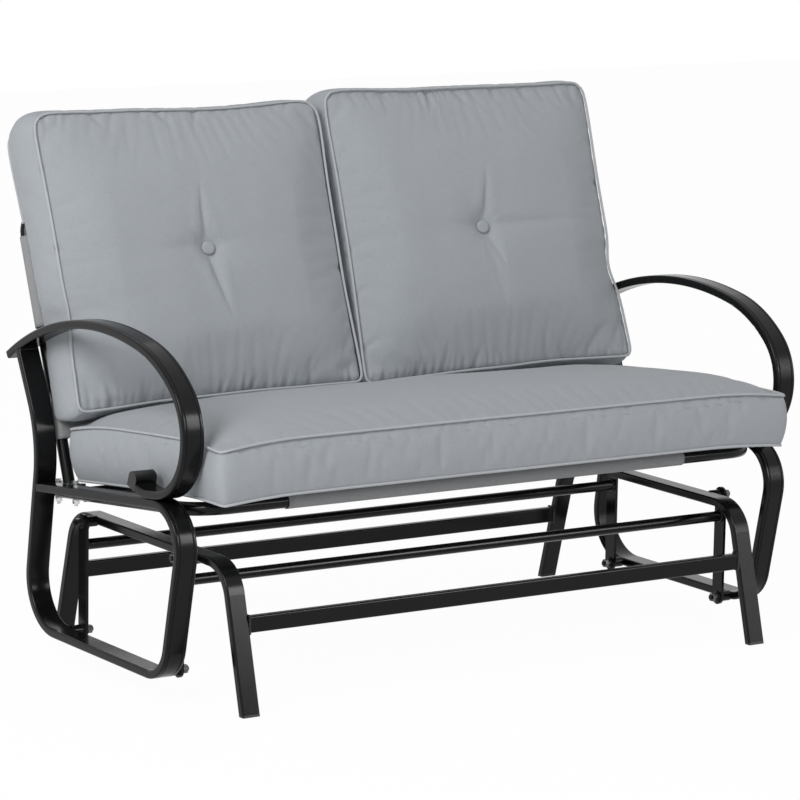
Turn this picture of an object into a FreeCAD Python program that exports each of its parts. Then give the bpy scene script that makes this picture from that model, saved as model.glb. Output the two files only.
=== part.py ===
import FreeCAD, Part
import math
import os

# A two-seat porch glider: a cushioned seat hung on four swing links from a fixed tube base.
# Units are millimetres. +X is to the right seen from the front, -Y is the front, +Z is up.
# The origin is on the floor, under the middle of the whole seat.

# Overall
OVERALL_WIDTH = 1200.0
SEAT_SLOPE = 6.0
BACK_LEAN = 21.0

# Flat ribbed tube of the side frames and arms
SIDE_TUBE_WIDTH = 38.0
SIDE_TUBE_DEPTH = 14.0
SIDE_TUBE_CORNER = 3.5
RIB_OFFSET = 12.5
RIB_HALF_WIDTH = 1.6
RIB_DEPTH = 0.9
TUBE_WALL = 1.5

# Flat tube of the base hoops and stretchers
HOOP_TUBE_WIDTH = 32.0
HOOP_TUBE_DEPTH = 14.0
HOOP_TUBE_CORNER = 3.0
STRETCHER_HEIGHT = 27.0
STRETCHER_DEPTH = 14.0

# Base hoops
FOOT_SPAN = 610.0
BASE_SET_FORWARD = 6.0
LEG_SPLAY = 15.0
TOP_RAIL_HEIGHT = 228.0
HOOP_BEND_RADIUS = 60.0
FRONT_STRETCHER_HEIGHT = 138.0
REAR_STRETCHER_HEIGHT = 122.0
FOOT_PLUG_THICKNESS = 4.0
FOOT_PLUG_SPIGOT = 18.0
PLUG_CLEARANCE = 0.1

# Swing links
PIVOT_GAP = 46.0
PIVOT_SPACING = 314.0
BOTTOM_RAIL_HEIGHT = 47.0
HANGER_WIDTH = 26.0
HANGER_THICKNESS = 5.0
CROSS_TUBE_DIAMETER = 18.0
CROSS_TUBE_DROP = 38.0

# Pivot hardware
STUD_RADIUS = 4.0
STUD_SHOULDER_RADIUS = 9.0
STUD_END = 2.6
BUSH_WALL = 3.0
BUSH_FLANGE_RADIUS = 10.5
BUSH_FLANGE_THICKNESS = 2.0
RUNNING_CLEARANCE = 0.06
OPEN_PIVOT_CLEARANCE = 0.10
SEAT_CLEARANCE = 0.05
SIDE_CLEARANCE = 0.3
WASHER_RADIUS = 8.0
WASHER_THICKNESS = 1.6
NUT_ACROSS_FLATS = 13.0
NUT_THICKNESS = 8.0

# Side frames
REAR_POST_FACE = 210.0
SEAT_RAIL_CLEARANCE = 54.0
SEAT_RAIL_RUN = 385.0
FRONT_BEND_RADIUS = 68.0
FRONT_POST_LEAN = 12.0
BOTTOM_FRONT_RADIUS = 60.0
BOTTOM_REAR_RADIUS = 85.0
REAR_POST_LEAN = 8.4
REAR_POST_RISE = 17.9
REAR_POST_BEND_RADIUS = 200.0
REAR_POST_TOP_LEAN = 27.6
REAR_POST_TOP_RUN = 101.0

# Arms
ARM_TOUCH_Y = -156.0
ARM_END_RADIUS = 80.0
ARM_END_TURN = 26.0
ARM_SEAT_RUN = 21.0
ARM_CURL_RADIUS = 99.0
ARM_CURL_TURN = 132.0
ARM_SHOULDER_RADIUS = 231.0
ARM_SHOULDER_TURN = 30.0
ARM_TOP_RADIUS = 603.0
ARM_TOP_TURN = 43.0
ARM_CAP_LENGTH = 24.0
ARM_CAP_HEIGHT = 28.0
ARM_CAP_ROUND = 10.0
END_CAP_THICKNESS = 3.0
CAP_SPIGOT = 12.0

# Seat frame and sling
SEAT_TUBE_DIAMETER = 22.0
SEAT_FRONT_Y = -232.0
SEAT_FRONT_RISE = 36.0
SEAT_LEG_END_Y = 252.0
SEAT_CORNER_RADIUS = 60.0
SEAT_REAR_BAR_Y = 140.0
SEAT_SLING_INSET = 172.0
SLING_THICKNESS = 1.6
SLING_CLEARANCE = 0.2

# Back frame, sling and brackets
BACK_TUBE_DIAMETER = 20.0
BACK_LEG_INSET = 16.0
BACK_FOOT_Y = 193.0
BACK_LENGTH = 460.0
BACK_CORNER_RADIUS = 40.0
BACK_SLEEVE_START = 72.0
BACK_SLEEVE_NOTCH_START = 132.0
BACK_SLEEVE_NOTCH_END = 262.0
BACK_SLEEVE_STOP = 418.0
BRACKET_LENGTH = 84.0
BRACKET_WIDTH = 24.0
BRACKET_THICKNESS = 4.0
BRACKET_BOLT_SPACING = 60.0
BRACKET_BOLT_RADIUS = 3.0
BOLT_HEAD_ACROSS_FLATS = 10.0
BOLT_HEAD_HEIGHT = 4.0
BOLT_NUT_THICKNESS = 5.0
BOLT_WASHER_RADIUS = 6.5
BOLT_WASHER_THICKNESS = 1.2
BOLT_TIP = 4.0

# Seat cushion
SEAT_CUSHION_SIDE_GAP = 5.0
SEAT_CUSHION_FRONT_Y = -318.0
SEAT_CUSHION_DEPTH = 501.0
SEAT_CUSHION_FRONT_THICKNESS = 98.0
SEAT_CUSHION_REAR_THICKNESS = 106.0
SEAT_CUSHION_CROWN = 43.0
SEAT_CUSHION_FLARE = 5.0

# Back cushions
BACK_CUSHION_SIDE_GAP = 3.0
BACK_CUSHION_MIDDLE_GAP = 2.5
BACK_CUSHION_HEIGHT = 497.0
BACK_CUSHION_START = 110.0
BACK_CUSHION_FOOT_THICKNESS = 87.0
BACK_CUSHION_HEAD_THICKNESS = 99.0
BACK_CUSHION_CROWN = 34.0
CUSHION_CORNER = 24.0
CUSHION_PULL = 7.0
CUSHION_BULGE = 6.0
CUSHION_REST_CLEARANCE = 0.4
TUFT_RADIUS = 70.0
TUFT_DEPTH = 15.0
TUFT_MID_REACH = 0.35
TUFT_MID_RISE = 0.72
BUTTON_RADIUS = 12.0
BUTTON_THICKNESS = 7.0
BUTTON_ROUND = 0.7
EDGE_MATCH = 0.1

V = FreeCAD.Vector
ALONG_X = V(1, 0, 0)
UP = V(0, 0, 1)
BORE_MARGIN = 2.0

side_inner_x = OVERALL_WIDTH / 2 - SIDE_TUBE_WIDTH
side_x = OVERALL_WIDTH / 2 - SIDE_TUBE_WIDTH / 2
hoop_outer_x = side_inner_x - PIVOT_GAP
hoop_x = hoop_outer_x - HOOP_TUBE_WIDTH / 2
hoop_inner_x = hoop_outer_x - HOOP_TUBE_WIDTH
hanger_x = (side_inner_x + hoop_outer_x) / 2
back_leg_x = side_inner_x - BACK_LEG_INSET
seat_sling_width = 2 * (side_inner_x - SEAT_SLING_INSET)
seat_cushion_half_width = side_inner_x - SEAT_CUSHION_SIDE_GAP
back_cushion_width = side_inner_x - BACK_CUSHION_SIDE_GAP - BACK_CUSHION_MIDDLE_GAP
back_cushion_middle_x = BACK_CUSHION_MIDDLE_GAP + back_cushion_width / 2
seat_rail_rear_height = TOP_RAIL_HEIGHT + SEAT_RAIL_CLEARANCE
seat_front_height = seat_rail_rear_height + SEAT_FRONT_RISE
front_pivot_y = -PIVOT_SPACING / 2
rear_pivot_y = PIVOT_SPACING / 2


def travel(heading):
    """Unit step in the YZ plane, towards the front and up by the heading in degrees."""
    angle = math.radians(heading)
    return V(0, -math.cos(angle), math.sin(angle))


def upward_normal(heading):
    """Unit normal of travel(heading), on the side that a rising bend turns to."""
    angle = math.radians(heading)
    return V(0, math.sin(angle), math.cos(angle))


def bent_path(start, heading, chart):
    """Centre line of a bent tube: its edges, from a chart of runs and bends."""
    edges = []
    point = start
    for step in chart:
        if step[0] == "run":
            end = point + travel(heading) * step[1]
            edges.append(Part.makeLine(point, end))
        else:
            radius, turn = step[1], step[2]
            side = math.copysign(radius, turn)
            middle = point + upward_normal(heading) * side
            halfway = middle - upward_normal(heading + turn / 2) * side
            end = middle - upward_normal(heading + turn) * side
            edges.append(Part.Arc(point, halfway, end).toShape())
            heading += turn
        point = end
    return edges


def chart_end(start, heading, chart):
    """End point and heading of a bent path."""
    edges = bent_path(start, heading, chart)
    turned = sum(step[2] for step in chart if step[0] == "bend")
    return edges[-1].Vertexes[-1].Point, heading + turned


def joined(place, outline):
    """Closed wire through outline steps: ("to", u, v) is a line, ("arc", um, vm, u, v) an arc."""
    edges = []
    last = outline[-1][-2:]
    for step in outline:
        here = place(*last)
        there = place(*step[-2:])
        if step[0] == "to":
            edges.append(Part.makeLine(here, there))
        else:
            edges.append(Part.Arc(here, place(step[1], step[2]), there).toShape())
        last = step[-2:]
    return Part.Wire(edges)


def flat_tube_outline(width, depth, corner, rib_side=0):
    """Rounded flat outline; rib_side +1 or -1 presses two grooves into that wide face."""
    u, v = width / 2, depth / 2
    slack = corner * (1 - math.sqrt(0.5))
    ribs = {1: [], -1: []}
    if rib_side:
        for middle in (-RIB_OFFSET, RIB_OFFSET):
            ribs[rib_side] += [
                ("to", middle - RIB_HALF_WIDTH, rib_side * v),
                ("to", middle, rib_side * (v - RIB_DEPTH)),
                ("to", middle + RIB_HALF_WIDTH, rib_side * v),
            ]
    lower = [("to", -step[1], step[2]) for step in ribs[-1]]
    return (
        ribs[1]
        + [("to", u - corner, v), ("arc", u - slack, v - slack, u, v - corner)]
        + [("to", u, corner - v), ("arc", u - slack, slack - v, u - corner, -v)]
        + lower
        + [("to", corner - u, -v), ("arc", slack - u, slack - v, -u, corner - v)]
        + [("to", -u, v - corner), ("arc", slack - u, v - slack, corner - u, v)]
    )


def sweep_flat(start, heading, chart, outline):
    """Solid of a flat outline swept along a bent path, its width kept along X."""
    normal = upward_normal(heading)
    wire = joined(lambda u, v: start + ALONG_X * u + normal * v, outline)
    pipe = Part.BRepOffsetAPI.MakePipeShell(Part.Wire(bent_path(start, heading, chart)))
    pipe.setBiNormalMode(ALONG_X)
    pipe.add(wire)
    pipe.build()
    pipe.makeSolid()
    return pipe.shape()


def bent_flat_tube(start, heading, chart, width, depth, corner, rib_side=0):
    """Hollow flat tube bent by a chart."""
    outer = sweep_flat(start, heading, chart, flat_tube_outline(width, depth, corner, rib_side))
    bore_start = start - travel(heading) * BORE_MARGIN
    bore_chart = [("run", BORE_MARGIN)] + chart + [("run", BORE_MARGIN)]
    wall = TUBE_WALL + (RIB_DEPTH if rib_side else 0)
    bore = flat_tube_outline(width - 2 * TUBE_WALL, depth - 2 * wall, corner - TUBE_WALL)
    return outer.cut(sweep_flat(bore_start, heading, bore_chart, bore))


def filleted_path(points, radius):
    """Wire through points, with each inner corner rounded by an arc."""
    edges = []
    last = points[0]
    for before, corner, after in zip(points, points[1:], points[2:]):
        towards = (before - corner).normalize()
        onwards = (after - corner).normalize()
        half = towards.getAngle(onwards) / 2
        reach = radius / math.tan(half)
        start = corner + towards * reach
        end = corner + onwards * reach
        inward = (towards + onwards).normalize()
        halfway = corner + inward * (radius / math.sin(half) - radius)
        edges.append(Part.makeLine(last, start))
        edges.append(Part.Arc(start, halfway, end).toShape())
        last = end
    edges.append(Part.makeLine(last, points[-1]))
    return Part.Wire(edges)


def round_pipe(points, radius, corner_radius):
    """Solid rod along a path with rounded corners."""
    path = filleted_path(points, corner_radius)
    circle = Part.Wire(Part.makeCircle(radius, points[0], points[1] - points[0]))
    return path.makePipeShell([circle], True, True)


def round_tube(points, diameter, corner_radius):
    """Hollow round tube along a path with rounded corners."""
    first = (points[0] - points[1]).normalize() * BORE_MARGIN
    last = (points[-1] - points[-2]).normalize() * BORE_MARGIN
    longer = [points[0] + first] + points[1:-1] + [points[-1] + last]
    outer = round_pipe(points, diameter / 2, corner_radius)
    return outer.cut(round_pipe(longer, diameter / 2 - TUBE_WALL, corner_radius))


def cross_tube(half_length, diameter, y, z):
    """Straight hollow round tube along X."""
    rod = Part.makeCylinder(diameter / 2, 2 * half_length, V(-half_length, y, z), ALONG_X)
    bore = Part.makeCylinder(diameter / 2 - TUBE_WALL, 2 * half_length, V(-half_length, y, z), ALONG_X)
    return rod.cut(bore)


def disc(radius, bore, x0, x1, y, z):
    """Ring or rod along X between two X positions."""
    low, length = min(x0, x1), abs(x1 - x0)
    body = Part.makeCylinder(radius, length, V(low, y, z), ALONG_X)
    if bore:
        body = body.cut(Part.makeCylinder(bore, length, V(low, y, z), ALONG_X))
    return body


def hex_nut(across_flats, bore, base, axis, thickness):
    """Hexagon nut, or a bolt head where bore is 0, standing on base along the axis."""
    axis = V(axis).normalize()
    side = axis.cross(ALONG_X) if abs(axis.x) < 0.9 else axis.cross(UP)
    side.normalize()
    other = axis.cross(side)
    reach = across_flats / math.sqrt(3)
    corners = []
    for k in range(7):
        turn = math.radians(60 * k)
        corners.append(base + side * (reach * math.cos(turn)) + other * (reach * math.sin(turn)))
    nut = Part.Face(Part.makePolygon(corners)).extrude(axis * thickness)
    if bore:
        nut = nut.cut(Part.makeCylinder(bore, thickness, base, axis))
    return nut


def mirrored(shape):
    """The same piece on the other side of the seat."""
    return shape.mirror(V(0, 0, 0), ALONG_X)


def both(shape):
    """A piece and its mirror image as one group."""
    return [shape, mirrored(shape)]


# Base

def base_hoop():
    """Right hoop: rear leg, top rail and front leg of one bent tube, cut level above the foot plugs."""
    half_turn = 90 - LEG_SPLAY
    lean = math.tan(math.radians(LEG_SPLAY))
    corner = FOOT_SPAN / 2 - TOP_RAIL_HEIGHT * lean
    reach = HOOP_BEND_RADIUS * math.tan(math.radians(half_turn / 2))
    leg = TOP_RAIL_HEIGHT / math.cos(math.radians(LEG_SPLAY)) - reach
    below = HOOP_TUBE_DEPTH
    rise = travel(half_turn)
    rear_foot = V(hoop_x, FOOT_SPAN / 2 - BASE_SET_FORWARD, 0) - rise * below
    chart = [
        ("run", leg + below),
        ("bend", HOOP_BEND_RADIUS, -half_turn),
        ("run", 2 * (corner - reach)),
        ("bend", HOOP_BEND_RADIUS, -half_turn),
        ("run", leg + below),
    ]
    tube = bent_flat_tube(rear_foot, half_turn, chart, HOOP_TUBE_WIDTH, HOOP_TUBE_DEPTH, HOOP_TUBE_CORNER)
    room = 2 * FOOT_SPAN
    floor = Part.makeBox(room, room, room, V(hoop_x - room / 2, -room / 2, FOOT_PLUG_THICKNESS - room))
    return tube.cut(floor)


def foot_plug(front):
    """Right plug: a spigot inside the leg and a flat sole the size of the tube."""
    lean = math.tan(math.radians(LEG_SPLAY))
    side = -1 if front else 1
    foot_y = side * FOOT_SPAN / 2 - BASE_SET_FORWARD
    slant = 1 / math.cos(math.radians(LEG_SPLAY))

    def level(z, width, depth, corner):
        middle = V(hoop_x, foot_y - side * z * lean, z)
        outline = flat_tube_outline(width, depth * slant, corner)
        return joined(lambda u, v: middle + V(u, v, 0), outline)

    sole = [level(z, HOOP_TUBE_WIDTH, HOOP_TUBE_DEPTH, HOOP_TUBE_CORNER) for z in (0, FOOT_PLUG_THICKNESS)]
    thin = TUBE_WALL + PLUG_CLEARANCE
    top = FOOT_PLUG_THICKNESS + FOOT_PLUG_SPIGOT
    spigot = [
        level(z, HOOP_TUBE_WIDTH - 2 * thin, HOOP_TUBE_DEPTH - 2 * thin, HOOP_TUBE_CORNER - TUBE_WALL)
        for z in (FOOT_PLUG_THICKNESS, top)
    ]
    return Part.makeLoft(sole, True, True).fuse(Part.makeLoft(spigot, True, True)).removeSplitter()


def stretcher(front):
    """Flat tube welded between the hoops' legs."""
    z = FRONT_STRETCHER_HEIGHT if front else REAR_STRETCHER_HEIGHT
    side = -1 if front else 1
    y = side * (FOOT_SPAN / 2 - z * math.tan(math.radians(LEG_SPLAY))) - BASE_SET_FORWARD

    def bar(depth, height, corner):
        outline = flat_tube_outline(depth, height, corner)
        end = joined(lambda u, v: V(-hoop_inner_x, y + u, z + v), outline)
        return Part.Face(end).extrude(ALONG_X * (2 * hoop_inner_x))

    thin = 2 * TUBE_WALL
    bore = bar(STRETCHER_DEPTH - thin, STRETCHER_HEIGHT - thin, HOOP_TUBE_CORNER - TUBE_WALL)
    return bar(STRETCHER_DEPTH, STRETCHER_HEIGHT, HOOP_TUBE_CORNER).cut(bore)


# Pivots: a shouldered stud on a rail, a hanger's bushed eye, a washer and a locknut

def pivot_levels(rail_face):
    """X positions along one right-hand pivot, from the rail's face past the hanger."""
    out = 1 if rail_face < hanger_x else -1
    flange = HANGER_THICKNESS / 2 + BUSH_FLANGE_THICKNESS + SIDE_CLEARANCE
    shoulder = hanger_x - out * flange
    washer = hanger_x + out * flange
    nut = washer + out * WASHER_THICKNESS
    tip = nut + out * (NUT_THICKNESS + STUD_END)
    return {"out": out, "shoulder": shoulder, "washer": washer, "nut": nut, "tip": tip}


def pivot_stud(rail_face, y, z):
    at = pivot_levels(rail_face)
    collar = disc(STUD_SHOULDER_RADIUS, 0, rail_face, at["shoulder"], y, z)
    return collar.fuse(disc(STUD_RADIUS, 0, at["shoulder"], at["tip"], y, z))


def pivot_washer(rail_face, y, z):
    at = pivot_levels(rail_face)
    return disc(WASHER_RADIUS, STUD_RADIUS + SEAT_CLEARANCE, at["washer"], at["nut"], y, z)


def pivot_locknut(rail_face, y, z):
    at = pivot_levels(rail_face)
    bore = STUD_RADIUS + SEAT_CLEARANCE
    return hex_nut(NUT_ACROSS_FLATS, bore, V(at["nut"], y, z), ALONG_X * at["out"], NUT_THICKNESS)


def pivot_set(make, rail_face, z):
    """One kind of hardware at the four pivots of one height."""
    pieces = []
    for y in (front_pivot_y, rear_pivot_y):
        pieces += both(make(rail_face, y, z))
    return pieces


def hanger(y):
    """Right hanger: a flat bar with round ends and two bushed eyes."""
    radius = HANGER_WIDTH / 2
    low = hanger_x - HANGER_THICKNESS / 2
    high = hanger_x + HANGER_THICKNESS / 2
    drop = TOP_RAIL_HEIGHT - BOTTOM_RAIL_HEIGHT
    bar = Part.makeBox(HANGER_THICKNESS, HANGER_WIDTH, drop, V(low, y - radius, BOTTOM_RAIL_HEIGHT))
    for z in (BOTTOM_RAIL_HEIGHT, TOP_RAIL_HEIGHT):
        bar = bar.fuse(disc(radius, 0, low, high, y, z))
    for z in (BOTTOM_RAIL_HEIGHT, TOP_RAIL_HEIGHT):
        eye = STUD_RADIUS + BUSH_WALL + SEAT_CLEARANCE
        bar = bar.cut(disc(eye, 0, low, high, y, z))
    return bar.removeSplitter()


def bush_halves(y, z, clearance):
    """Two flanged half bushes that meet inside a right hanger's eye."""
    bore = STUD_RADIUS + clearance
    halves = []
    for out in (-1, 1):
        face = hanger_x + out * HANGER_THICKNESS / 2
        flange = disc(BUSH_FLANGE_RADIUS, bore, face, face + out * BUSH_FLANGE_THICKNESS, y, z)
        sleeve = disc(STUD_RADIUS + BUSH_WALL, bore, hanger_x, face, y, z)
        halves.append(flange.fuse(sleeve).removeSplitter())
    return halves


def swing_bushes(y, lower_clearance):
    pieces = bush_halves(y, TOP_RAIL_HEIGHT, RUNNING_CLEARANCE)
    pieces += bush_halves(y, BOTTOM_RAIL_HEIGHT, lower_clearance)
    return pieces + [mirrored(piece) for piece in pieces]


def swing_cross_tube(y):
    half = hanger_x - HANGER_THICKNESS / 2
    return cross_tube(half, CROSS_TUBE_DIAMETER, y, TOP_RAIL_HEIGHT - CROSS_TUBE_DROP)


# Side frames and arms

seat_rail_start = V(side_x, REAR_POST_FACE, seat_rail_rear_height)


def side_frame_charts():
    """Bend chart of the loop below the seat and of the rear post, with the post's start and heading."""
    front_turn = SEAT_SLOPE + 90 + FRONT_POST_LEAN
    top = [("run", SEAT_RAIL_RUN), ("bend", FRONT_BEND_RADIUS, -front_turn)]
    point = chart_end(seat_rail_start, SEAT_SLOPE, top)[0]
    bottom_turn = 90 - FRONT_POST_LEAN
    sag = BOTTOM_FRONT_RADIUS * (1 - math.sin(math.radians(FRONT_POST_LEAN)))
    front_run = (point.z - BOTTOM_RAIL_HEIGHT - sag) / math.cos(math.radians(FRONT_POST_LEAN))
    loop = top + [("run", front_run), ("bend", BOTTOM_FRONT_RADIUS, -bottom_turn)]
    point = chart_end(seat_rail_start, SEAT_SLOPE, loop)[0]
    lean = math.radians(REAR_POST_LEAN)
    post_middle = REAR_POST_FACE + SIDE_TUBE_DEPTH / 2 / math.cos(lean)
    bend_top = BOTTOM_RAIL_HEIGHT + BOTTOM_REAR_RADIUS * (1 + math.sin(lean))
    post_y = post_middle + (seat_rail_rear_height - bend_top) * math.tan(lean)
    bottom_run = post_y - BOTTOM_REAR_RADIUS * math.cos(lean) - point.y
    loop += [("run", bottom_run), ("bend", BOTTOM_REAR_RADIUS, -(90 + REAR_POST_LEAN))]
    post_start, post_heading = chart_end(seat_rail_start, SEAT_SLOPE, loop)
    post_run = (seat_rail_rear_height - bend_top) / math.cos(lean) + REAR_POST_RISE
    post = [
        ("run", post_run),
        ("bend", REAR_POST_BEND_RADIUS, REAR_POST_LEAN + REAR_POST_TOP_LEAN),
        ("run", REAR_POST_TOP_RUN),
    ]
    return loop, post, post_start, post_heading


def ribbed_tube(start, heading, chart, rib_side):
    return bent_flat_tube(
        start, heading, chart, SIDE_TUBE_WIDTH, SIDE_TUBE_DEPTH, SIDE_TUBE_CORNER, rib_side
    )


def arm_path():
    """Start, heading and bend chart of the right arm, from its raised lower end up and back."""
    forward = REAR_POST_FACE - ARM_TOUCH_Y
    rail_height = seat_rail_rear_height + forward * math.tan(math.radians(SEAT_SLOPE))
    lift = SIDE_TUBE_DEPTH / math.cos(math.radians(SEAT_SLOPE))
    touch = V(side_x, ARM_TOUCH_Y, rail_height + lift)
    heading = SEAT_SLOPE - ARM_END_TURN
    lead = ("bend", ARM_END_RADIUS, ARM_END_TURN)
    reach = chart_end(V(0, 0, 0), heading, [lead])[0]
    chart = [
        lead,
        ("run", ARM_SEAT_RUN),
        ("bend", ARM_CURL_RADIUS, ARM_CURL_TURN),
        ("bend", ARM_SHOULDER_RADIUS, ARM_SHOULDER_TURN),
        ("bend", ARM_TOP_RADIUS, ARM_TOP_TURN),
    ]
    return touch - reach, heading, chart


def arm():
    """Right arm: a tube that touches the seat rail, curls up and runs back over the rear post."""
    start, heading, chart = arm_path()
    return ribbed_tube(start, heading, chart, -1)


def side_frame():
    """Right side frame, its rear post cut to fit under the arm and its end cap, without the offcut."""
    loop, post, post_start, post_heading = side_frame_charts()
    frame = ribbed_tube(seat_rail_start, SEAT_SLOPE, loop, 1)
    rear = ribbed_tube(post_start, post_heading, post, 1)
    start, heading, chart = arm_path()
    above = chart + [("run", END_CAP_THICKNESS + SIDE_TUBE_DEPTH)]
    outline = flat_tube_outline(SIDE_TUBE_WIDTH + BORE_MARGIN, SIDE_TUBE_DEPTH, SIDE_TUBE_CORNER)
    cut_post = rear.cut(sweep_flat(start, heading, above, outline))
    lower = min(cut_post.Solids, key=lambda piece: piece.BoundBox.ZMin)
    return frame.fuse(lower)


def spigot_outline():
    thin = TUBE_WALL + PLUG_CLEARANCE
    depth = SIDE_TUBE_DEPTH - 2 * (thin + RIB_DEPTH)
    return flat_tube_outline(SIDE_TUBE_WIDTH - 2 * thin, depth, SIDE_TUBE_CORNER - TUBE_WALL)


def arm_rear_cap():
    """Right plug in the arm's rear end."""
    start, heading, chart = arm_path()
    point, end_heading = chart_end(start, heading, chart)
    outline = flat_tube_outline(SIDE_TUBE_WIDTH, SIDE_TUBE_DEPTH, SIDE_TUBE_CORNER)
    lid = sweep_flat(point, end_heading, [("run", END_CAP_THICKNESS)], outline)
    turn = math.degrees(CAP_SPIGOT / ARM_TOP_RADIUS)
    shorter = chart[:-1] + [("bend", ARM_TOP_RADIUS, ARM_TOP_TURN - turn)]
    inside, inner_heading = chart_end(start, heading, shorter)
    return lid.fuse(sweep_flat(inside, inner_heading, [("bend", ARM_TOP_RADIUS, turn)], spigot_outline()))


def arm_front_cap():
    """Right block cap on the arm's raised lower end."""
    start, heading = arm_path()[:2]
    back = start - travel(heading) * ARM_CAP_LENGTH
    base = back - upward_normal(heading) * (SIDE_TUBE_DEPTH / 2)
    forward, normal = travel(heading), upward_normal(heading)
    half = SIDE_TUBE_WIDTH / 2
    round_off = ARM_CAP_ROUND * (1 - math.sqrt(0.5))
    profile = [
        ("to", ARM_CAP_LENGTH, 0),
        ("to", ARM_CAP_LENGTH, ARM_CAP_HEIGHT - ARM_CAP_ROUND),
        (
            "arc", ARM_CAP_LENGTH - round_off, ARM_CAP_HEIGHT - round_off,
            ARM_CAP_LENGTH - ARM_CAP_ROUND, ARM_CAP_HEIGHT,
        ),
        ("to", ARM_CAP_ROUND, ARM_CAP_HEIGHT),
        ("arc", round_off, ARM_CAP_HEIGHT - round_off, 0, ARM_CAP_HEIGHT - ARM_CAP_ROUND),
        ("to", 0, 0),
    ]
    wire = joined(lambda u, v: base + forward * u + normal * v - ALONG_X * half, profile)
    block = Part.Face(wire).extrude(ALONG_X * SIDE_TUBE_WIDTH)
    turn = math.degrees(CAP_SPIGOT / ARM_END_RADIUS)
    return block.fuse(sweep_flat(start, heading, [("bend", ARM_END_RADIUS, turn)], spigot_outline()))


# Seat frame and sling

slope = math.radians(SEAT_SLOPE)
seat_normal = V(0, math.sin(slope), math.cos(slope))
seat_rearward = V(0, math.cos(slope), -math.sin(slope))
seat_tube_x = side_inner_x - SEAT_TUBE_DIAMETER / 2 - SIDE_CLEARANCE


def seat_level(x, y):
    """Point on the plane through the seat tubes' centres."""
    return V(x, y, seat_front_height - (y - SEAT_FRONT_Y) * math.tan(slope))


def seat_frame_points():
    return [
        seat_level(-seat_tube_x, SEAT_LEG_END_Y),
        seat_level(-seat_tube_x, SEAT_FRONT_Y),
        seat_level(seat_tube_x, SEAT_FRONT_Y),
        seat_level(seat_tube_x, SEAT_LEG_END_Y),
    ]


def bracket_bolt_holes():
    """Rods the size of the bracket bolts, through both seat tubes."""
    reach = SEAT_TUBE_DIAMETER
    rods = []
    for point in bracket_bolt_points():
        low = point - seat_normal * reach
        rods.append(Part.makeCylinder(BRACKET_BOLT_RADIUS + SEAT_CLEARANCE, 2 * reach, low, seat_normal))
    return rods


def seat_frame():
    tube = round_tube(seat_frame_points(), SEAT_TUBE_DIAMETER, SEAT_CORNER_RADIUS)
    return tube.cut(Part.Compound(bracket_bolt_holes()))


def seat_frame_plugs():
    """Plugs in the rear ends of the seat frame."""
    radius = SEAT_TUBE_DIAMETER / 2
    point = seat_level(seat_tube_x, SEAT_LEG_END_Y)
    lid = Part.makeCylinder(radius, END_CAP_THICKNESS, point, seat_rearward)
    spigot_radius = radius - TUBE_WALL - PLUG_CLEARANCE
    inside = point - seat_rearward * CAP_SPIGOT
    return both(lid.fuse(Part.makeCylinder(spigot_radius, CAP_SPIGOT, inside, seat_rearward)))


def seat_rear_bar():
    """Bar between the seat frame's legs, its ends shaped to them."""
    point = seat_level(0, SEAT_REAR_BAR_Y)
    bar = cross_tube(seat_tube_x, SEAT_TUBE_DIAMETER, point.y, point.z)
    return bar.cut(round_pipe(seat_frame_points(), SEAT_TUBE_DIAMETER / 2, SEAT_CORNER_RADIUS))


def sleeve(radius, start, direction, length):
    """Fabric ring around a tube."""
    inner = radius + SLING_CLEARANCE
    ring = Part.makeCylinder(inner + SLING_THICKNESS, length, start, direction)
    return ring.cut(Part.makeCylinder(inner, length, start, direction))


def seat_sling():
    """Fabric stretched over the front bar and the rear bar, with a sleeve round each."""
    radius = SEAT_TUBE_DIAMETER / 2
    half = seat_sling_width / 2
    front = seat_level(-half, SEAT_FRONT_Y)
    rear = seat_level(-half, SEAT_REAR_BAR_Y)
    corner = front + seat_normal * (radius + SLING_CLEARANCE)
    outline = [
        corner, corner + ALONG_X * seat_sling_width,
        corner + ALONG_X * seat_sling_width + (rear - front), corner + (rear - front), corner,
    ]
    sheet = Part.Face(Part.makePolygon(outline)).extrude(seat_normal * SLING_THICKNESS)
    for point in (front, rear):
        sheet = sheet.fuse(sleeve(radius, point, ALONG_X, seat_sling_width))
    return sheet.removeSplitter()


# Back frame, sling and brackets

back_lean = math.radians(BACK_LEAN)
back_up = V(0, math.sin(back_lean), math.cos(back_lean))
back_forward = V(0, -math.cos(back_lean), math.sin(back_lean))
bracket_gap = SEAT_TUBE_DIAMETER / 2 + SIDE_CLEARANCE


def bracket_middle(x):
    """Point on the bracket's underside, below the back frame's foot."""
    return seat_level(x, BACK_FOOT_Y) + seat_normal * bracket_gap


def bracket_bolt_points():
    """Points where the bracket bolts pass the seat tubes' centre plane."""
    points = []
    for x in (-seat_tube_x, seat_tube_x):
        for side in (-1, 1):
            points.append(seat_level(x, BACK_FOOT_Y) + seat_rearward * (side * BRACKET_BOLT_SPACING / 2))
    return points


def bracket_plate(margin, thickness):
    """Right plate on the seat tube, under the back frame's foot, with a margin on all sides."""
    middle = bracket_middle(seat_tube_x)
    half_y = BRACKET_LENGTH / 2 + margin
    outer = seat_tube_x + SEAT_TUBE_DIAMETER / 2 + margin
    inner = outer - BRACKET_WIDTH - 2 * margin
    corners = []
    for x, y in ((inner, -half_y), (outer, -half_y), (outer, half_y), (inner, half_y), (inner, -half_y)):
        corners.append(V(x, middle.y, middle.z) + seat_rearward * y)
    return Part.Face(Part.makePolygon(corners)).extrude(seat_normal * thickness)


def back_bracket():
    return bracket_plate(0, BRACKET_THICKNESS).cut(Part.Compound(bracket_bolt_holes()))


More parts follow.
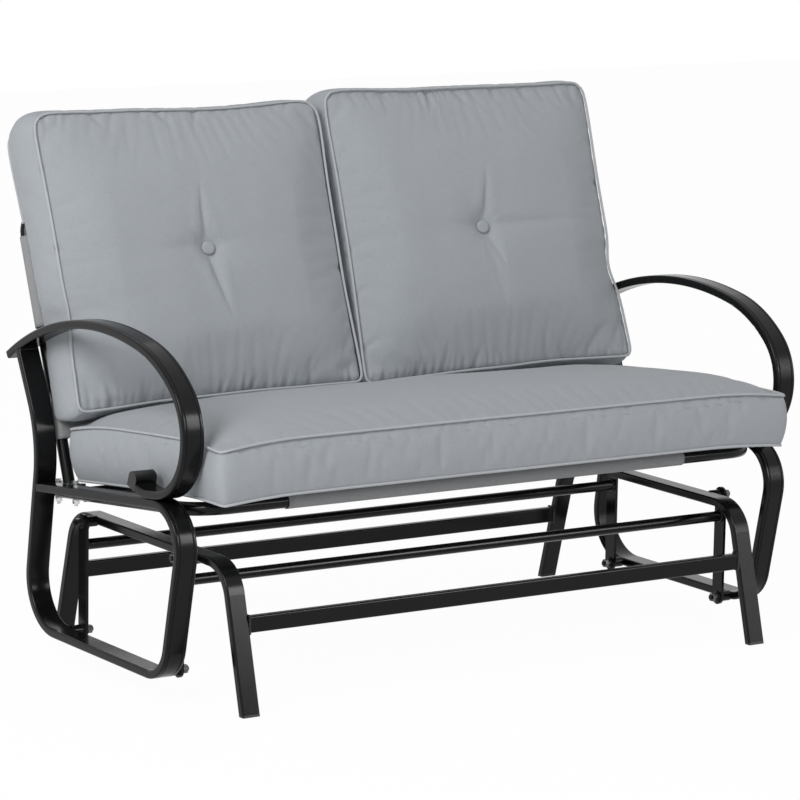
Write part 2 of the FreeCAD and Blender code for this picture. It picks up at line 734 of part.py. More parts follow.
def back_foot(x):
    """Point on the bracket's top, on the axis of the back frame's leg."""
    return bracket_middle(x) + seat_normal * BRACKET_THICKNESS


def back_frame_points(below):
    low = [back_foot(side * back_leg_x) - back_up * below for side in (-1, 1)]
    high = [back_foot(side * back_leg_x) + back_up * BACK_LENGTH for side in (-1, 1)]
    return [low[0], high[0], high[1], low[1]]


def back_frame():
    """Bent tube whose two feet are cut flat on the brackets."""
    tube = round_tube(back_frame_points(BACK_TUBE_DIAMETER), BACK_TUBE_DIAMETER, BACK_CORNER_RADIUS)
    foot = back_foot(0)
    room = OVERALL_WIDTH
    below = Part.makeBox(2 * room, room, room, V(-room, -room / 2, -room))
    below.rotate(V(0, 0, 0), ALONG_X, -SEAT_SLOPE)
    below.translate(V(0, foot.y, foot.z))
    return tube.cut(below)


def back_sling():
    """Fabric stretched between the back frame's legs, with sleeves that leave a notch at the arms."""
    radius = BACK_TUBE_DIAMETER / 2
    foot = back_foot(0)
    low = foot + back_up * BACK_SLEEVE_START + back_forward * (radius + SLING_CLEARANCE)
    length = BACK_SLEEVE_STOP - BACK_SLEEVE_START
    outline = [
        low - ALONG_X * back_leg_x, low + ALONG_X * back_leg_x,
        low + ALONG_X * back_leg_x + back_up * length, low - ALONG_X * back_leg_x + back_up * length,
        low - ALONG_X * back_leg_x,
    ]
    sheet = Part.Face(Part.makePolygon(outline)).extrude(back_forward * SLING_THICKNESS)
    spans = ((BACK_SLEEVE_START, BACK_SLEEVE_NOTCH_START), (BACK_SLEEVE_NOTCH_END, BACK_SLEEVE_STOP))
    for x in (-back_leg_x, back_leg_x):
        for bottom, top in spans:
            sheet = sheet.fuse(sleeve(radius, back_foot(x) + back_up * bottom, back_up, top - bottom))
    return sheet.removeSplitter()


def bracket_levels():
    """Distances from the seat tubes' centre plane to the head's washer, the head and the nut."""
    washer = bracket_gap + BRACKET_THICKNESS
    nut = -bracket_gap - BOLT_WASHER_THICKNESS
    return {"washer": washer, "head": washer + BOLT_WASHER_THICKNESS, "nut": nut}


def bracket_bolts():
    at = bracket_levels()
    tip = at["nut"] - BOLT_NUT_THICKNESS - BOLT_TIP
    length = at["head"] - tip
    bolts = []
    for point in bracket_bolt_points():
        shank = Part.makeCylinder(BRACKET_BOLT_RADIUS, length, point + seat_normal * tip, seat_normal)
        base = point + seat_normal * at["head"]
        bolts.append(shank.fuse(hex_nut(BOLT_HEAD_ACROSS_FLATS, 0, base, seat_normal, BOLT_HEAD_HEIGHT)))
    return bolts


def bracket_washers():
    at = bracket_levels()
    bore = BRACKET_BOLT_RADIUS + SEAT_CLEARANCE
    washers = []
    for point in bracket_bolt_points():
        for side in ("washer", "nut"):
            base = point + seat_normal * at[side]
            ring = Part.makeCylinder(BOLT_WASHER_RADIUS, BOLT_WASHER_THICKNESS, base, seat_normal)
            washers.append(ring.cut(Part.makeCylinder(bore, BOLT_WASHER_THICKNESS, base, seat_normal)))
    return washers


def bracket_nuts():
    level = bracket_levels()["nut"]
    bore = BRACKET_BOLT_RADIUS + SEAT_CLEARANCE
    nuts = []
    for point in bracket_bolt_points():
        base = point + seat_normal * level
        nuts.append(hex_nut(BOLT_HEAD_ACROSS_FLATS, bore, base, -seat_normal, BOLT_NUT_THICKNESS))
    return nuts


# Cushions

# Insets of the crown's outlines as shares of the half depth, with the share of the crown reached there
CROWN_STEPS = ((0.08, 0.25), (0.22, 0.55), (0.42, 0.82), (0.64, 0.96), (0.84, 1.0))
CORNER_GROWTH = 0.55
CORNER_SHARE = 0.7
# Shares of the thickness, with the inset of the boxing's outline there
SIDE_STEPS = ((0.0, 9.0), (0.12, 1.5), (0.5, -CUSHION_BULGE), (0.9, 0.0))


def cushion_outline(half_u, half_v, corner, pull, flare):
    """Outline with round corners, sides drawn in between them and its near end flared."""
    slack = corner * (1 - math.sqrt(0.5))
    near_u = half_u + flare
    return [
        ("arc", 0, half_v - pull, half_u - corner, half_v),
        ("arc", half_u - slack, half_v - slack, half_u, half_v - corner),
        ("arc", half_u - pull, 0, near_u, corner - half_v),
        ("arc", near_u - slack, slack - half_v, near_u - corner, -half_v),
        ("arc", 0, pull - half_v, corner - near_u, -half_v),
        ("arc", slack - near_u, slack - half_v, -near_u, corner - half_v),
        ("arc", pull - half_u, 0, -half_u, half_v - corner),
        ("arc", slack - half_u, half_v - slack, corner - half_u, half_v),
    ]


def cushion(half_u, half_v, levels, place, flare=0):
    """Stuffed form lofted through outlines at levels of height, inset and side pull."""
    wires = []
    for height, inset, pull in levels:
        room = CORNER_SHARE * (half_v - inset)
        corner = min(CUSHION_CORNER + CORNER_GROWTH * max(inset, 0), room)
        outline = cushion_outline(half_u - inset, half_v - inset, corner, pull, flare)
        wires.append(joined(lambda u, v, height=height: place(u, v, height), outline))
    return Part.makeLoft(wires, True, False)


def cushion_levels(thickness, crown, half_short):
    """Heights, insets and side pulls from the flat back to the top of the crown."""
    levels = [(share * thickness, inset, CUSHION_PULL) for share, inset in SIDE_STEPS]
    for inset, rise in CROWN_STEPS:
        levels.append((thickness + crown * rise, half_short * inset, CUSHION_PULL * (1 - inset)))
    return levels


seat_sling_top = SEAT_TUBE_DIAMETER / 2 + SLING_CLEARANCE + SLING_THICKNESS


def seat_cushion():
    """Seat cushion, hollowed below over the back brackets and their bolts."""
    half_depth = SEAT_CUSHION_DEPTH / 2
    front = seat_level(0, SEAT_CUSHION_FRONT_Y) + seat_normal * (seat_sling_top + CUSHION_REST_CLEARANCE)
    middle = front + seat_rearward * half_depth
    mean = (SEAT_CUSHION_FRONT_THICKNESS + SEAT_CUSHION_REAR_THICKNESS) / 2
    taper = (SEAT_CUSHION_REAR_THICKNESS - SEAT_CUSHION_FRONT_THICKNESS) / SEAT_CUSHION_DEPTH
    levels = cushion_levels(mean, SEAT_CUSHION_CROWN, half_depth)

    def place(u, v, height):
        rise = height + min(height / mean, 1) * taper * v
        return middle + ALONG_X * u + seat_rearward * v + seat_normal * rise

    half_width = seat_cushion_half_width - CUSHION_BULGE
    pad = cushion(half_width, half_depth, levels, place, SEAT_CUSHION_FLARE)
    bolted = BRACKET_THICKNESS + BOLT_WASHER_THICKNESS + BOLT_HEAD_HEIGHT
    pocket = bracket_plate(CUSHION_REST_CLEARANCE, bolted + CUSHION_REST_CLEARANCE)
    return pad.cut(pocket).cut(mirrored(pocket))


back_cushion_rest = BACK_TUBE_DIAMETER / 2 + SLING_CLEARANCE + SLING_THICKNESS + CUSHION_REST_CLEARANCE


def back_cushion_place():
    """Mapping from a back cushion's own width, height and thickness to the seat's frame."""
    middle = back_foot(0) + back_up * (BACK_CUSHION_START + BACK_CUSHION_HEIGHT / 2)
    middle = middle + back_forward * back_cushion_rest + ALONG_X * back_cushion_middle_x
    mean = (BACK_CUSHION_FOOT_THICKNESS + BACK_CUSHION_HEAD_THICKNESS) / 2
    taper = (BACK_CUSHION_HEAD_THICKNESS - BACK_CUSHION_FOOT_THICKNESS) / BACK_CUSHION_HEIGHT

    def place(u, v, height):
        rise = height + min(height / mean, 1) * taper * v
        return middle + ALONG_X * u + back_up * v + back_forward * rise

    return place, mean


def back_cushion():
    """Right back cushion, drawn in round its button."""
    place, mean = back_cushion_place()
    half_height = BACK_CUSHION_HEIGHT / 2
    levels = cushion_levels(mean, BACK_CUSHION_CROWN, half_height)
    pad = cushion(back_cushion_width / 2 - CUSHION_BULGE, half_height, levels, place)
    top = place(0, 0, mean + BACK_CUSHION_CROWN)
    base = top - back_forward * TUFT_DEPTH
    mid_radius = BUTTON_RADIUS + (TUFT_RADIUS - BUTTON_RADIUS) * TUFT_MID_REACH
    mid = base + ALONG_X * mid_radius + back_forward * (TUFT_DEPTH * TUFT_MID_RISE)
    rim = base + ALONG_X * TUFT_RADIUS + back_forward * (TUFT_DEPTH + BORE_MARGIN)
    floor_edge = base + ALONG_X * BUTTON_RADIUS
    roof = top + back_forward * TUFT_DEPTH
    wire = Part.Wire([
        Part.makeLine(base, floor_edge),
        Part.Arc(floor_edge, mid, rim).toShape(),
        Part.makeLine(rim, roof + ALONG_X * TUFT_RADIUS),
        Part.makeLine(roof + ALONG_X * TUFT_RADIUS, roof),
        Part.makeLine(roof, base),
    ])
    tuft = Part.Face(wire).revolve(base, back_forward, 360)
    return pad.cut(tuft)


def cushion_button():
    """Right covered button on the floor of the tuft, its front edge rounded."""
    place, mean = back_cushion_place()
    floor = place(0, 0, mean + BACK_CUSHION_CROWN) - back_forward * TUFT_DEPTH
    button = Part.makeCylinder(BUTTON_RADIUS, BUTTON_THICKNESS, floor, back_forward)
    front = floor + back_forward * BUTTON_THICKNESS
    rings = [edge for edge in button.Edges if edge.Closed]
    rims = [ring for ring in rings if ring.CenterOfMass.distanceToPoint(front) < EDGE_MATCH]
    return button.makeFillet(BUTTON_ROUND * BUTTON_THICKNESS, rims)


# Nodes

def pair(nodes, name, shape):
    """Adds a right-hand piece and its left-hand mirror as two nodes."""
    nodes["right_" + name] = [shape]
    nodes["left_" + name] = [mirrored(shape)]


def build_nodes():
    nodes = {}
    hoop = base_hoop()
    nodes["base_right_hoop"] = [hoop]
    nodes["base_left_hoop"] = [mirrored(hoop)]
    nodes["front_stretcher"] = [stretcher(True)]
    nodes["rear_stretcher"] = [stretcher(False)]
    nodes["foot_plugs"] = both(foot_plug(True)) + both(foot_plug(False))
    for level, face, z in (
        ("upper", hoop_outer_x, TOP_RAIL_HEIGHT), ("lower", side_inner_x, BOTTOM_RAIL_HEIGHT),
    ):
        nodes[level + "_pivot_studs"] = pivot_set(pivot_stud, face, z)
        nodes[level + "_pivot_washers"] = pivot_set(pivot_washer, face, z)
        nodes[level + "_pivot_locknuts"] = pivot_set(pivot_locknut, face, z)
    for name, y, clearance in (
        ("front", front_pivot_y, RUNNING_CLEARANCE), ("rear", rear_pivot_y, OPEN_PIVOT_CLEARANCE),
    ):
        link = hanger(y)
        nodes[name + "_right_hanger"] = [link]
        nodes[name + "_left_hanger"] = [mirrored(link)]
        nodes[name + "_cross_tube"] = [swing_cross_tube(y)]
        nodes[name + "_hanger_bushes"] = swing_bushes(y, clearance)
    pair(nodes, "side_frame", side_frame())
    pair(nodes, "arm", arm())
    nodes["arm_rear_caps"] = both(arm_rear_cap())
    nodes["arm_front_caps"] = both(arm_front_cap())
    nodes["seat_frame"] = [seat_frame()]
    nodes["seat_rear_bar"] = [seat_rear_bar()]
    nodes["seat_frame_plugs"] = seat_frame_plugs()
    nodes["seat_sling"] = [seat_sling()]
    nodes["back_frame"] = [back_frame()]
    nodes["back_sling"] = [back_sling()]
    pair(nodes, "back_bracket", back_bracket())
    nodes["bracket_bolts"] = bracket_bolts()
    nodes["bracket_washers"] = bracket_washers()
    nodes["bracket_nuts"] = bracket_nuts()
    nodes["seat_cushion"] = [seat_cushion()]
    pair(nodes, "back_cushion", back_cushion())
    nodes["cushion_buttons"] = both(cushion_button())
    return nodes


nodes = build_nodes()
whole = Part.Compound([solid for solids in nodes.values() for solid in solids])
box = whole.optimalBoundingBox(False)
to_origin = V(0, -(box.YMin + box.YMax) / 2, -box.ZMin)
os.makedirs("parts", exist_ok=True)
for name, solids in nodes.items():
    group = Part.Compound(solids) if len(solids) > 1 else solids[0]
    group.translate(to_origin)
    group.exportStep("parts/" + name + ".step")
    volume = sum(solid.Volume for solid in solids)
    print(name, len(group.Solids), "solids", round(volume / 1000), "cm3", "valid", group.isValid())
print("size", round(box.XLength, 1), round(box.YLength, 1), round(box.ZLength, 1))
print("shift", round(to_origin.y, 3), round(to_origin.z, 4))
for y in (front_pivot_y, rear_pivot_y):
    print("pivots", round(y + to_origin.y, 4), TOP_RAIL_HEIGHT, BOTTOM_RAIL_HEIGHT)
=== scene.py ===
"""Dresses the porch loveseat: boxed cushions with piping, slings, weld beads, finishes and a studio."""

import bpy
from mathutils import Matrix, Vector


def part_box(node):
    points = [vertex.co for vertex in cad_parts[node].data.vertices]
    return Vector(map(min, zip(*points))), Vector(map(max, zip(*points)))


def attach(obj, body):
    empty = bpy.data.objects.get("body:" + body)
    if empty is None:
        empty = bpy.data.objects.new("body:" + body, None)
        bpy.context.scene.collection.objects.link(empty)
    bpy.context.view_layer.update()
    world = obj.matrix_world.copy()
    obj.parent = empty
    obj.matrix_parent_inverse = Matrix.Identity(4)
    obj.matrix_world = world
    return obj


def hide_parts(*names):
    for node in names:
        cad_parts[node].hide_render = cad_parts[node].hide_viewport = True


bl_info = {
    "name": "Porch Loveseat Dressing",
    "version": (1, 0, 0),
    "blender": (4, 5, 0),
    "location": "View3D > Sidebar > Loveseat",
    "description": "Cushions, slings, weld beads, finishes and studio for a two-seat porch glider",
    "category": "Object",
}

import math
import random

import bpy
from mathutils import Matrix, Vector, noise

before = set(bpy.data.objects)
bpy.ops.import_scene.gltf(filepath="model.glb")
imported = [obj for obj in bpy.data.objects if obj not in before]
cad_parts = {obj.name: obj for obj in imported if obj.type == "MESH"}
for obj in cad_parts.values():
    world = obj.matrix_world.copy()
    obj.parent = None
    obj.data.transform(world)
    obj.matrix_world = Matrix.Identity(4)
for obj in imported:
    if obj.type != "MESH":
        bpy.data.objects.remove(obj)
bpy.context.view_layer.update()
ACROSS = Vector((1, 0, 0))


# Settings

def plain_number(name, words, default, **kind):
    return bpy.props.FloatProperty(name=name, description=words, default=default, **kind)


def in_metres(name, words, default):
    return plain_number(name, words, default, unit="LENGTH")


def in_degrees(name, words, degrees):
    return plain_number(name, words, math.radians(degrees), subtype="ANGLE")


def in_linear_colour(name, words, default):
    return bpy.props.FloatVectorProperty(name=name, description=words, default=default, subtype="COLOR")


class CushionSettings(bpy.types.PropertyGroup):
    """Form of the boxed cushions"""
    seat_slope: in_degrees("Seat slope", "Fall of the seat towards the back", 6)
    back_lean: in_degrees("Back lean", "Lean of the back from upright", 21)
    foot_thickness: in_metres("Back foot thickness", "Boxing width at a back cushion's foot", 0.087)
    head_thickness: in_metres("Back head thickness", "Boxing width at a back cushion's head", 0.099)
    back_crown: in_metres("Back crown", "Rise of a back cushion's face above its seam", 0.034)
    seat_front_thickness: in_metres("Seat front thickness", "Boxing width at the seat's front", 0.098)
    seat_rear_thickness: in_metres("Seat rear thickness", "Boxing width at the seat's rear", 0.106)
    seat_crown: in_metres("Seat crown", "Rise of the seat cushion's top above its seam", 0.038)
    seat_flare: in_metres("Seat flare", "Added reach of the seat cushion's front to each side", 0.005)
    bulge: in_metres("Boxing bulge", "Swell of the boxing between its seams", 0.006)
    head_bulge: in_metres("Head bulge", "Swell of the boxing at a back cushion's head", 0.015)
    outer_bulge: in_metres("Outer bulge", "Swell of the boxing on a back cushion's outer side", 0.0088)
    inner_bulge: in_metres("Inner bulge", "Swell of the boxing where the back cushions meet", 0.0010)
    head_overhang: in_metres("Overhang", "How far a back cushion sinks back round its frame", 0.016)
    head_corner: in_metres("Head corner radius", "Radius of a back cushion's upper corners", 0.040)
    corner: in_metres("Corner radius", "Radius of a panel's other corners", 0.018)
    corner_droop: in_metres("Corner droop", "How far the seat cushion's corners hang", 0.012)
    pull: in_metres("Side pull", "How far a side draws in between its corners", 0.007)
    piping: in_metres("Piping diameter", "Diameter of the covered cord in the seams", 0.0044)
    seam_wander: in_metres("Seam wander", "How far a long seam strays from its line", 0.0032)
    grid_share: plain_number("Grid share", "Spacing along a panel, as a share of its width", 0.0092)
    grid_rise: in_metres("Grid rise", "Spacing up a panel before subdivision", 0.0082)
    pressure: plain_number("Stuffing pressure", "Pressure of the stuffing in the simulation", 4.0)
    ease: plain_number("Cloth ease", "Share by which the cover is cut larger than the form", 0.008)
    frames: bpy.props.IntProperty(
        name="Frames", description="Length of the stuffing simulation", default=20)


class FinishSettings(bpy.types.PropertyGroup):
    """Colours of the finishes, in linear values"""
    coat: in_linear_colour("Frame coat", "Satin black powder coat", (0.0048, 0.0050, 0.0053))
    plastic: in_linear_colour("Plugs and caps", "Moulded black plastic", (0.0050, 0.0050, 0.0052))
    zinc: in_linear_colour("Fasteners", "Bright zinc plating", (0.68, 0.69, 0.70))
    nylon: in_linear_colour("Bushes", "Black nylon", (0.009, 0.009, 0.009))
    nut: in_linear_colour("Locknuts", "Black zinc plating", (0.10, 0.10, 0.105))
    cushion: in_linear_colour("Cushion cloth", "Cool grey plain weave", (0.349, 0.371, 0.395))
    # The piping cloth is set paler than the cover cloth as a painted highlight: the light that the round
    # cord catches
    piping: in_linear_colour("Piping cloth", "Paler grey bias strip", (0.43, 0.445, 0.465))
    sling: in_linear_colour("Sling cloth", "Coarse grey sling weave", (0.265, 0.27, 0.275))
    thread: in_linear_colour("Thread", "Grey sewing thread", (0.30, 0.31, 0.32))


class TrimSettings(bpy.types.PropertyGroup):
    """Weld beads, stitches and sling cloth"""
    bead_radius: in_metres("Bead radius", "Radius of a weld bead", 0.0026)
    bead_spacing: in_metres("Bead spacing", "Distance between the ripples of a weld", 0.0021)
    stitch_length: in_metres("Stitch length", "Length of a stitch", 0.0034)
    stitch_spacing: in_metres("Stitch spacing", "Distance from stitch to stitch", 0.0046)
    stitch_width: in_metres("Stitch width", "Thickness of the sewing thread", 0.0009)
    sling_thickness: in_metres("Sling thickness", "Thickness of the sling cloth", 0.0014)


class StageSettings(bpy.types.PropertyGroup):
    """Studio and camera"""
    camera_place: bpy.props.FloatVectorProperty(
        name="Camera place", description="Where the camera stands", subtype="TRANSLATION",
        default=(-3.526, -5.35163, 1.520))
    camera_yaw: in_degrees("Camera yaw", "Turn from straight ahead towards the right", 33.39)
    camera_pitch: in_degrees("Camera pitch", "Downward tilt", 9.86)
    camera_roll: in_degrees("Camera roll", "Turn about the line of sight", 1.01)
    camera_lens: plain_number("Camera lens", "Focal length in millimetres on a 36 mm sensor", 173.71)
    floor_colour: in_linear_colour("Floor", "Pale floor", (0.93, 0.93, 0.93))
    world_strength: plain_number("World strength", "Strength of the even light from all round", 0.45)
    mirrored_strength: plain_number("Mirrored strength", "Strength of what glossy surfaces mirror", 1.0)
    key_power: plain_number("Key lamp", "Watts of the large lamp at the upper left", 170.0)
    card_power: plain_number("Card lamp", "Watts of the lamp that only glossy surfaces mirror", 100.0)
    fill_power: plain_number("Fill lamp", "Watts of the large lamp at the right", 28.0)


# Node helpers

def feed(tree, node, inputs):
    """Fills a node's inputs, by name or number, with links from sockets or with plain values."""
    for key, value in inputs.items():
        if isinstance(value, bpy.types.NodeSocket):
            tree.links.new(value, node.inputs[key])
        else:
            node.inputs[key].default_value = value


def add_node(tree, kind, inputs=None, **settings):
    """A new node with its settings and its inputs."""
    node = tree.nodes.new(kind)
    for key, value in settings.items():
        setattr(node, key, value)
    feed(tree, node, inputs or {})
    return node


def math_node(tree, operation, *operands):
    """Output of a math node whose operands are sockets or numbers."""
    return add_node(tree, "ShaderNodeMath", dict(enumerate(operands)), operation=operation).outputs[0]


def blend_value(tree, factor, low, high):
    """Value that goes from one socket or number to another."""
    return add_node(tree, "ShaderNodeMix", {0: factor, 2: low, 3: high}, data_type="FLOAT").outputs[0]


def blend_shaders(tree, factor, first, second, target):
    """Sends two shaders, mixed by a factor, into a material's or a world's output."""
    mix = add_node(tree, "ShaderNodeMixShader", {0: factor, 1: first.outputs[0], 2: second.outputs[0]})
    tree.links.new(mix.outputs[0], tree.nodes[target].inputs["Surface"])


def new_group(name, kind, inputs, outputs):
    """Node group with the sockets of its two ends; a socket is (name, type) or (name, type, default)."""
    tree = bpy.data.node_groups.new(name, kind)
    for way, sockets in (("INPUT", inputs), ("OUTPUT", outputs)):
        for label, sort, *default in sockets:
            socket = tree.interface.new_socket(name=label, in_out=way, socket_type="NodeSocket" + sort)
            if default:
                socket.default_value = default[0]
    return tree, tree.nodes.new("NodeGroupInput").outputs, tree.nodes.new("NodeGroupOutput")


# Shared surface effects

MEAN_THREAD_HEIGHT = 0.64
# Strength of the painted shade in the threads' dips and the painted light on their raised parts
THREAD_DIP_PAINTED_SHADE = 0.10
FLECK_STRETCHES = ((60.0, 900.0, 1.0), (900.0, 60.0, 1.0))
DUST_COLOUR = (0.42, 0.41, 0.39, 1)


def plain_weave_group():
    """Threads going over and under, with slubs: a height, and a shade that is slub tone along the threads
    plus painted shade where the threads dip and painted light where they rise.
    """
    tree, source, result = new_group(
        "plain_weave", "ShaderNodeTree",
        (("Vector", "Vector"), ("Pitch", "Float", 0.0012), ("Slub", "Float", 0.1)),
        (("Height", "Float"), ("Shade", "Float")))
    parts = add_node(tree, "ShaderNodeSeparateXYZ", {0: source["Vector"]}).outputs
    across = math_node(tree, "DIVIDE", parts[0], source["Pitch"])
    along = math_node(tree, "DIVIDE", parts[1], source["Pitch"])
    rounds = []
    for count in (across, along):
        turn = math_node(tree, "MULTIPLY", count, math.pi)
        rounds.append(math_node(tree, "ABSOLUTE", math_node(tree, "SINE", turn)))
    cells = math_node(tree, "ADD", math_node(tree, "FLOOR", across), math_node(tree, "FLOOR", along))
    over = math_node(tree, "FLOORED_MODULO", cells, 2.0)
    height = blend_value(tree, over, *rounds)
    shades = []
    for stretch in FLECK_STRETCHES:
        scaled = add_node(
            tree, "ShaderNodeVectorMath", {0: source["Vector"], 1: stretch}, operation="MULTIPLY")
        fleck = add_node(
            tree, "ShaderNodeTexNoise", {"Vector": scaled.outputs[0], "Scale": 1.0, "Detail": 2.0})
        shades.append(fleck.outputs["Fac"])
    mixed = math_node(tree, "ADD", shades[0], math_node(tree, "SUBTRACT", shades[1], 1.0))
    depth = math_node(tree, "MULTIPLY", mixed, source["Slub"])
    # Painted shade: the weave's colour is darker where the threads dip and lighter where they rise
    raised = math_node(tree, "SUBTRACT", height, MEAN_THREAD_HEIGHT)
    painted_thread_shade = math_node(tree, "MULTIPLY", raised, THREAD_DIP_PAINTED_SHADE)
    shade = math_node(tree, "ADD", math_node(tree, "ADD", depth, painted_thread_shade), 1.0)
    feed(tree, result, {"Height": height, "Shade": shade})


def fine_grain_group():
    """Fine grain of a coating or moulding: a height, and a slow drift for its sheen."""
    tree, source, result = new_group(
        "fine_grain", "ShaderNodeTree",
        (("Vector", "Vector"), ("Grain", "Float", 900.0), ("Drift", "Float", 14.0)),
        (("Height", "Float"), ("Sheen", "Float")))
    for size, detail, out in (("Grain", 3.0, "Height"), ("Drift", 4.0, "Sheen")):
        inputs = {"Vector": source["Vector"], "Scale": source[size], "Detail": detail}
        pattern = add_node(tree, "ShaderNodeTexNoise", inputs)
        feed(tree, result, {out: pattern.outputs["Fac"]})


def settled_dust_group():
    """Mask of the light dust and rubbing that a surface gathers where it faces up."""
    tree, source, result = new_group(
        "settled_dust", "ShaderNodeTree",
        (("Vector", "Vector"), ("Normal", "Vector"), ("Amount", "Float", 0.1)), (("Mask", "Float"),))
    parts = add_node(tree, "ShaderNodeSeparateXYZ", {0: source["Normal"]})
    upward = math_node(tree, "MAXIMUM", parts.outputs[2], 0.0)
    cloud = add_node(
        tree, "ShaderNodeTexNoise", {"Vector": source["Vector"], "Scale": 40.0, "Detail": 5.0})
    patch = math_node(tree, "MULTIPLY", upward, cloud.outputs["Fac"])
    feed(tree, result, {"Mask": math_node(tree, "MULTIPLY", patch, source["Amount"])})


def placed_group(tree, name, inputs):
    return add_node(tree, "ShaderNodeGroup", inputs, node_tree=bpy.data.node_groups[name]).outputs


def new_material(name):
    material = bpy.data.materials.new(name)
    material.use_nodes = True
    return material, material.node_tree, material.node_tree.nodes["Principled BSDF"]


def bump(tree, height, strength, distance):
    inputs = {"Height": height, "Strength": strength, "Distance": distance}
    return add_node(tree, "ShaderNodeBump", inputs).outputs["Normal"]


def hard_finish(
        name, colour, low_rough, high_rough, metallic=0.0, specular=0.5, grain=900.0, relief=0.00006,
        dust=0.1):
    """Coated, moulded or plated surface with grain, drifting sheen and a little settled dust."""
    _, tree, shader = new_material(name)
    where = tree.nodes.new("ShaderNodeTexCoord").outputs
    fine = placed_group(tree, "fine_grain", {"Vector": where["Object"], "Grain": grain})
    settled = placed_group(
        tree, "settled_dust", {"Vector": where["Object"], "Normal": where["Normal"], "Amount": dust})
    tint = add_node(
        tree, "ShaderNodeMix", {0: settled["Mask"], 6: (*colour, 1), 7: DUST_COLOUR}, data_type="RGBA")
    feed(tree, shader, {
        "Base Color": tint.outputs[2],
        "Roughness": blend_value(tree, fine["Sheen"], low_rough, high_rough),
        "Metallic": metallic,
        "Specular IOR Level": specular,
        "Normal": bump(tree, fine["Height"], 0.5, relief),
    })


def cloth_finish(name, colour, pitch, slub, relief, sheen):
    """Woven cloth whose threads follow the piece's own cloth map."""
    _, tree, shader = new_material(name)
    where = add_node(tree, "ShaderNodeUVMap", uv_map="cloth")
    weave = placed_group(tree, "plain_weave", {"Vector": where.outputs["UV"], "Pitch": pitch, "Slub": slub})
    # The cloth colour is multiplied by the weave's shade: slub tone plus painted shade in the threads' dips
    tone = add_node(tree, "ShaderNodeCombineColor", {channel: weave["Shade"] for channel in range(3)})
    tint = add_node(
        tree, "ShaderNodeMix", {0: 1.0, 6: (*colour, 1), 7: tone.outputs[0]}, data_type="RGBA",
        blend_type="MULTIPLY")
    feed(tree, shader, {
        "Base Color": tint.outputs[2],
        "Roughness": blend_value(tree, weave["Height"], 0.92, 0.78),
        "Specular IOR Level": 0.25,
        "Sheen Weight": sheen,
        "Sheen Roughness": 0.45,
        "Normal": bump(tree, weave["Height"], 0.6, relief),
    })


def finish(name):
    return bpy.data.materials[name]


# Mesh helpers

def new_object(name, points, faces, material, uvs=None):
    """Mesh object at the origin; uvs holds one pair for each corner of each face."""
    mesh = bpy.data.meshes.new(name)
    mesh.from_pydata([tuple(p) for p in points], [], faces)
    if uvs:
        layer = mesh.uv_layers.new(name="cloth")
        flat = [value for pair in uvs for value in pair]
        layer.data.foreach_set("uv", flat)
    mesh.materials.append(material)
    mesh.polygons.foreach_set("use_smooth", [True] * len(mesh.polygons))
    mesh.update()
    obj = bpy.data.objects.new(name, mesh)
    bpy.context.collection.objects.link(obj)
    return obj


def evaluated_mesh(obj):
    depsgraph = bpy.context.evaluated_depsgraph_get()
    return bpy.data.meshes.new_from_object(obj.evaluated_get(depsgraph))


def bake_modifiers(obj):
    """Turns an object and its modifiers into a plain mesh."""
    plain = evaluated_mesh(obj)
    obj.modifiers.clear()
    spent = obj.data
    obj.data = plain
    bpy.data.meshes.remove(spent)
    plain.name = obj.name


def node_points(node):
    return [vertex.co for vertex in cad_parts[node].data.vertices]


class Rest:
    """A soft piece's own axes: across, along its panel, and out through its thickness."""

    def __init__(self, node, along):
        self.along = along
        self.out = ACROSS.cross(along)
        spans = []
        for axis in (ACROSS, self.along, self.out):
            reach = [point.dot(axis) for point in node_points(node)]
            spans.append((min(reach), max(reach)))
        self.half_u, self.half_v, self.half_w = ((high - low) / 2 for low, high in spans)
        middle_u, middle_v = ((low + high) / 2 for low, high in spans[:2])
        self.origin = ACROSS * middle_u + self.along * middle_v + self.out * spans[2][0]

    def at(self, u, v, w):
        return self.origin + ACROSS * u + self.along * v + self.out * w

    def local(self, point):
        offset = point - self.origin
        return offset.dot(ACROSS), offset.dot(self.along), offset.dot(self.out)


# Boxed cushions

SEAT_SWELL = 0.004
BACK_SWELL = 0.008
SEAM_SHARE = 0.955
BACK_SEAM_HEIGHT = 0.006
BACK_SEAM_INSET = 0.006
BACK_FRAME_TOP = 0.47
BESIDE_POWER = 110
ARM_LEVEL = -0.35
ARM_DENT = 0.16
EDGE_ROLL = 0.048
ROUND_STEEPNESS = 2.3
ARC_SLACK = 1 - math.sqrt(0.5)
WANDER_RATE = 7.0
SIDE_WANDER = 0.6
RIM_POWER = 14
DOME_RIM = 0.70
DOME_MIDDLE = 0.30
HANG_REACH = 0.16
BACK_HANG = 0.7
SWELL_POWER = 0.8
GRID_LEAST = 0.0050
GRID_MOST = 0.0066
LEAST_ROWS = 6

# How a back cushion has settled: at the head's inner and outer corner, then the foot's inner and outer one
NO_MOVE = (0.0, 0.0, 0.0, 0.0)
SETTLED_UP = {"left": (-0.005, -0.0065, -0.003, -0.012), "right": (0.012, 0.009, -0.008, -0.001)}
SETTLED_OUT = {"left": (0.004, 0.004, 0.002, 0.004), "right": (-0.001, 0.011, 0.009, 0.011)}
SETTLED_BUTTON = {"left": (0.0, -0.008), "right": (-0.005, -0.003)}


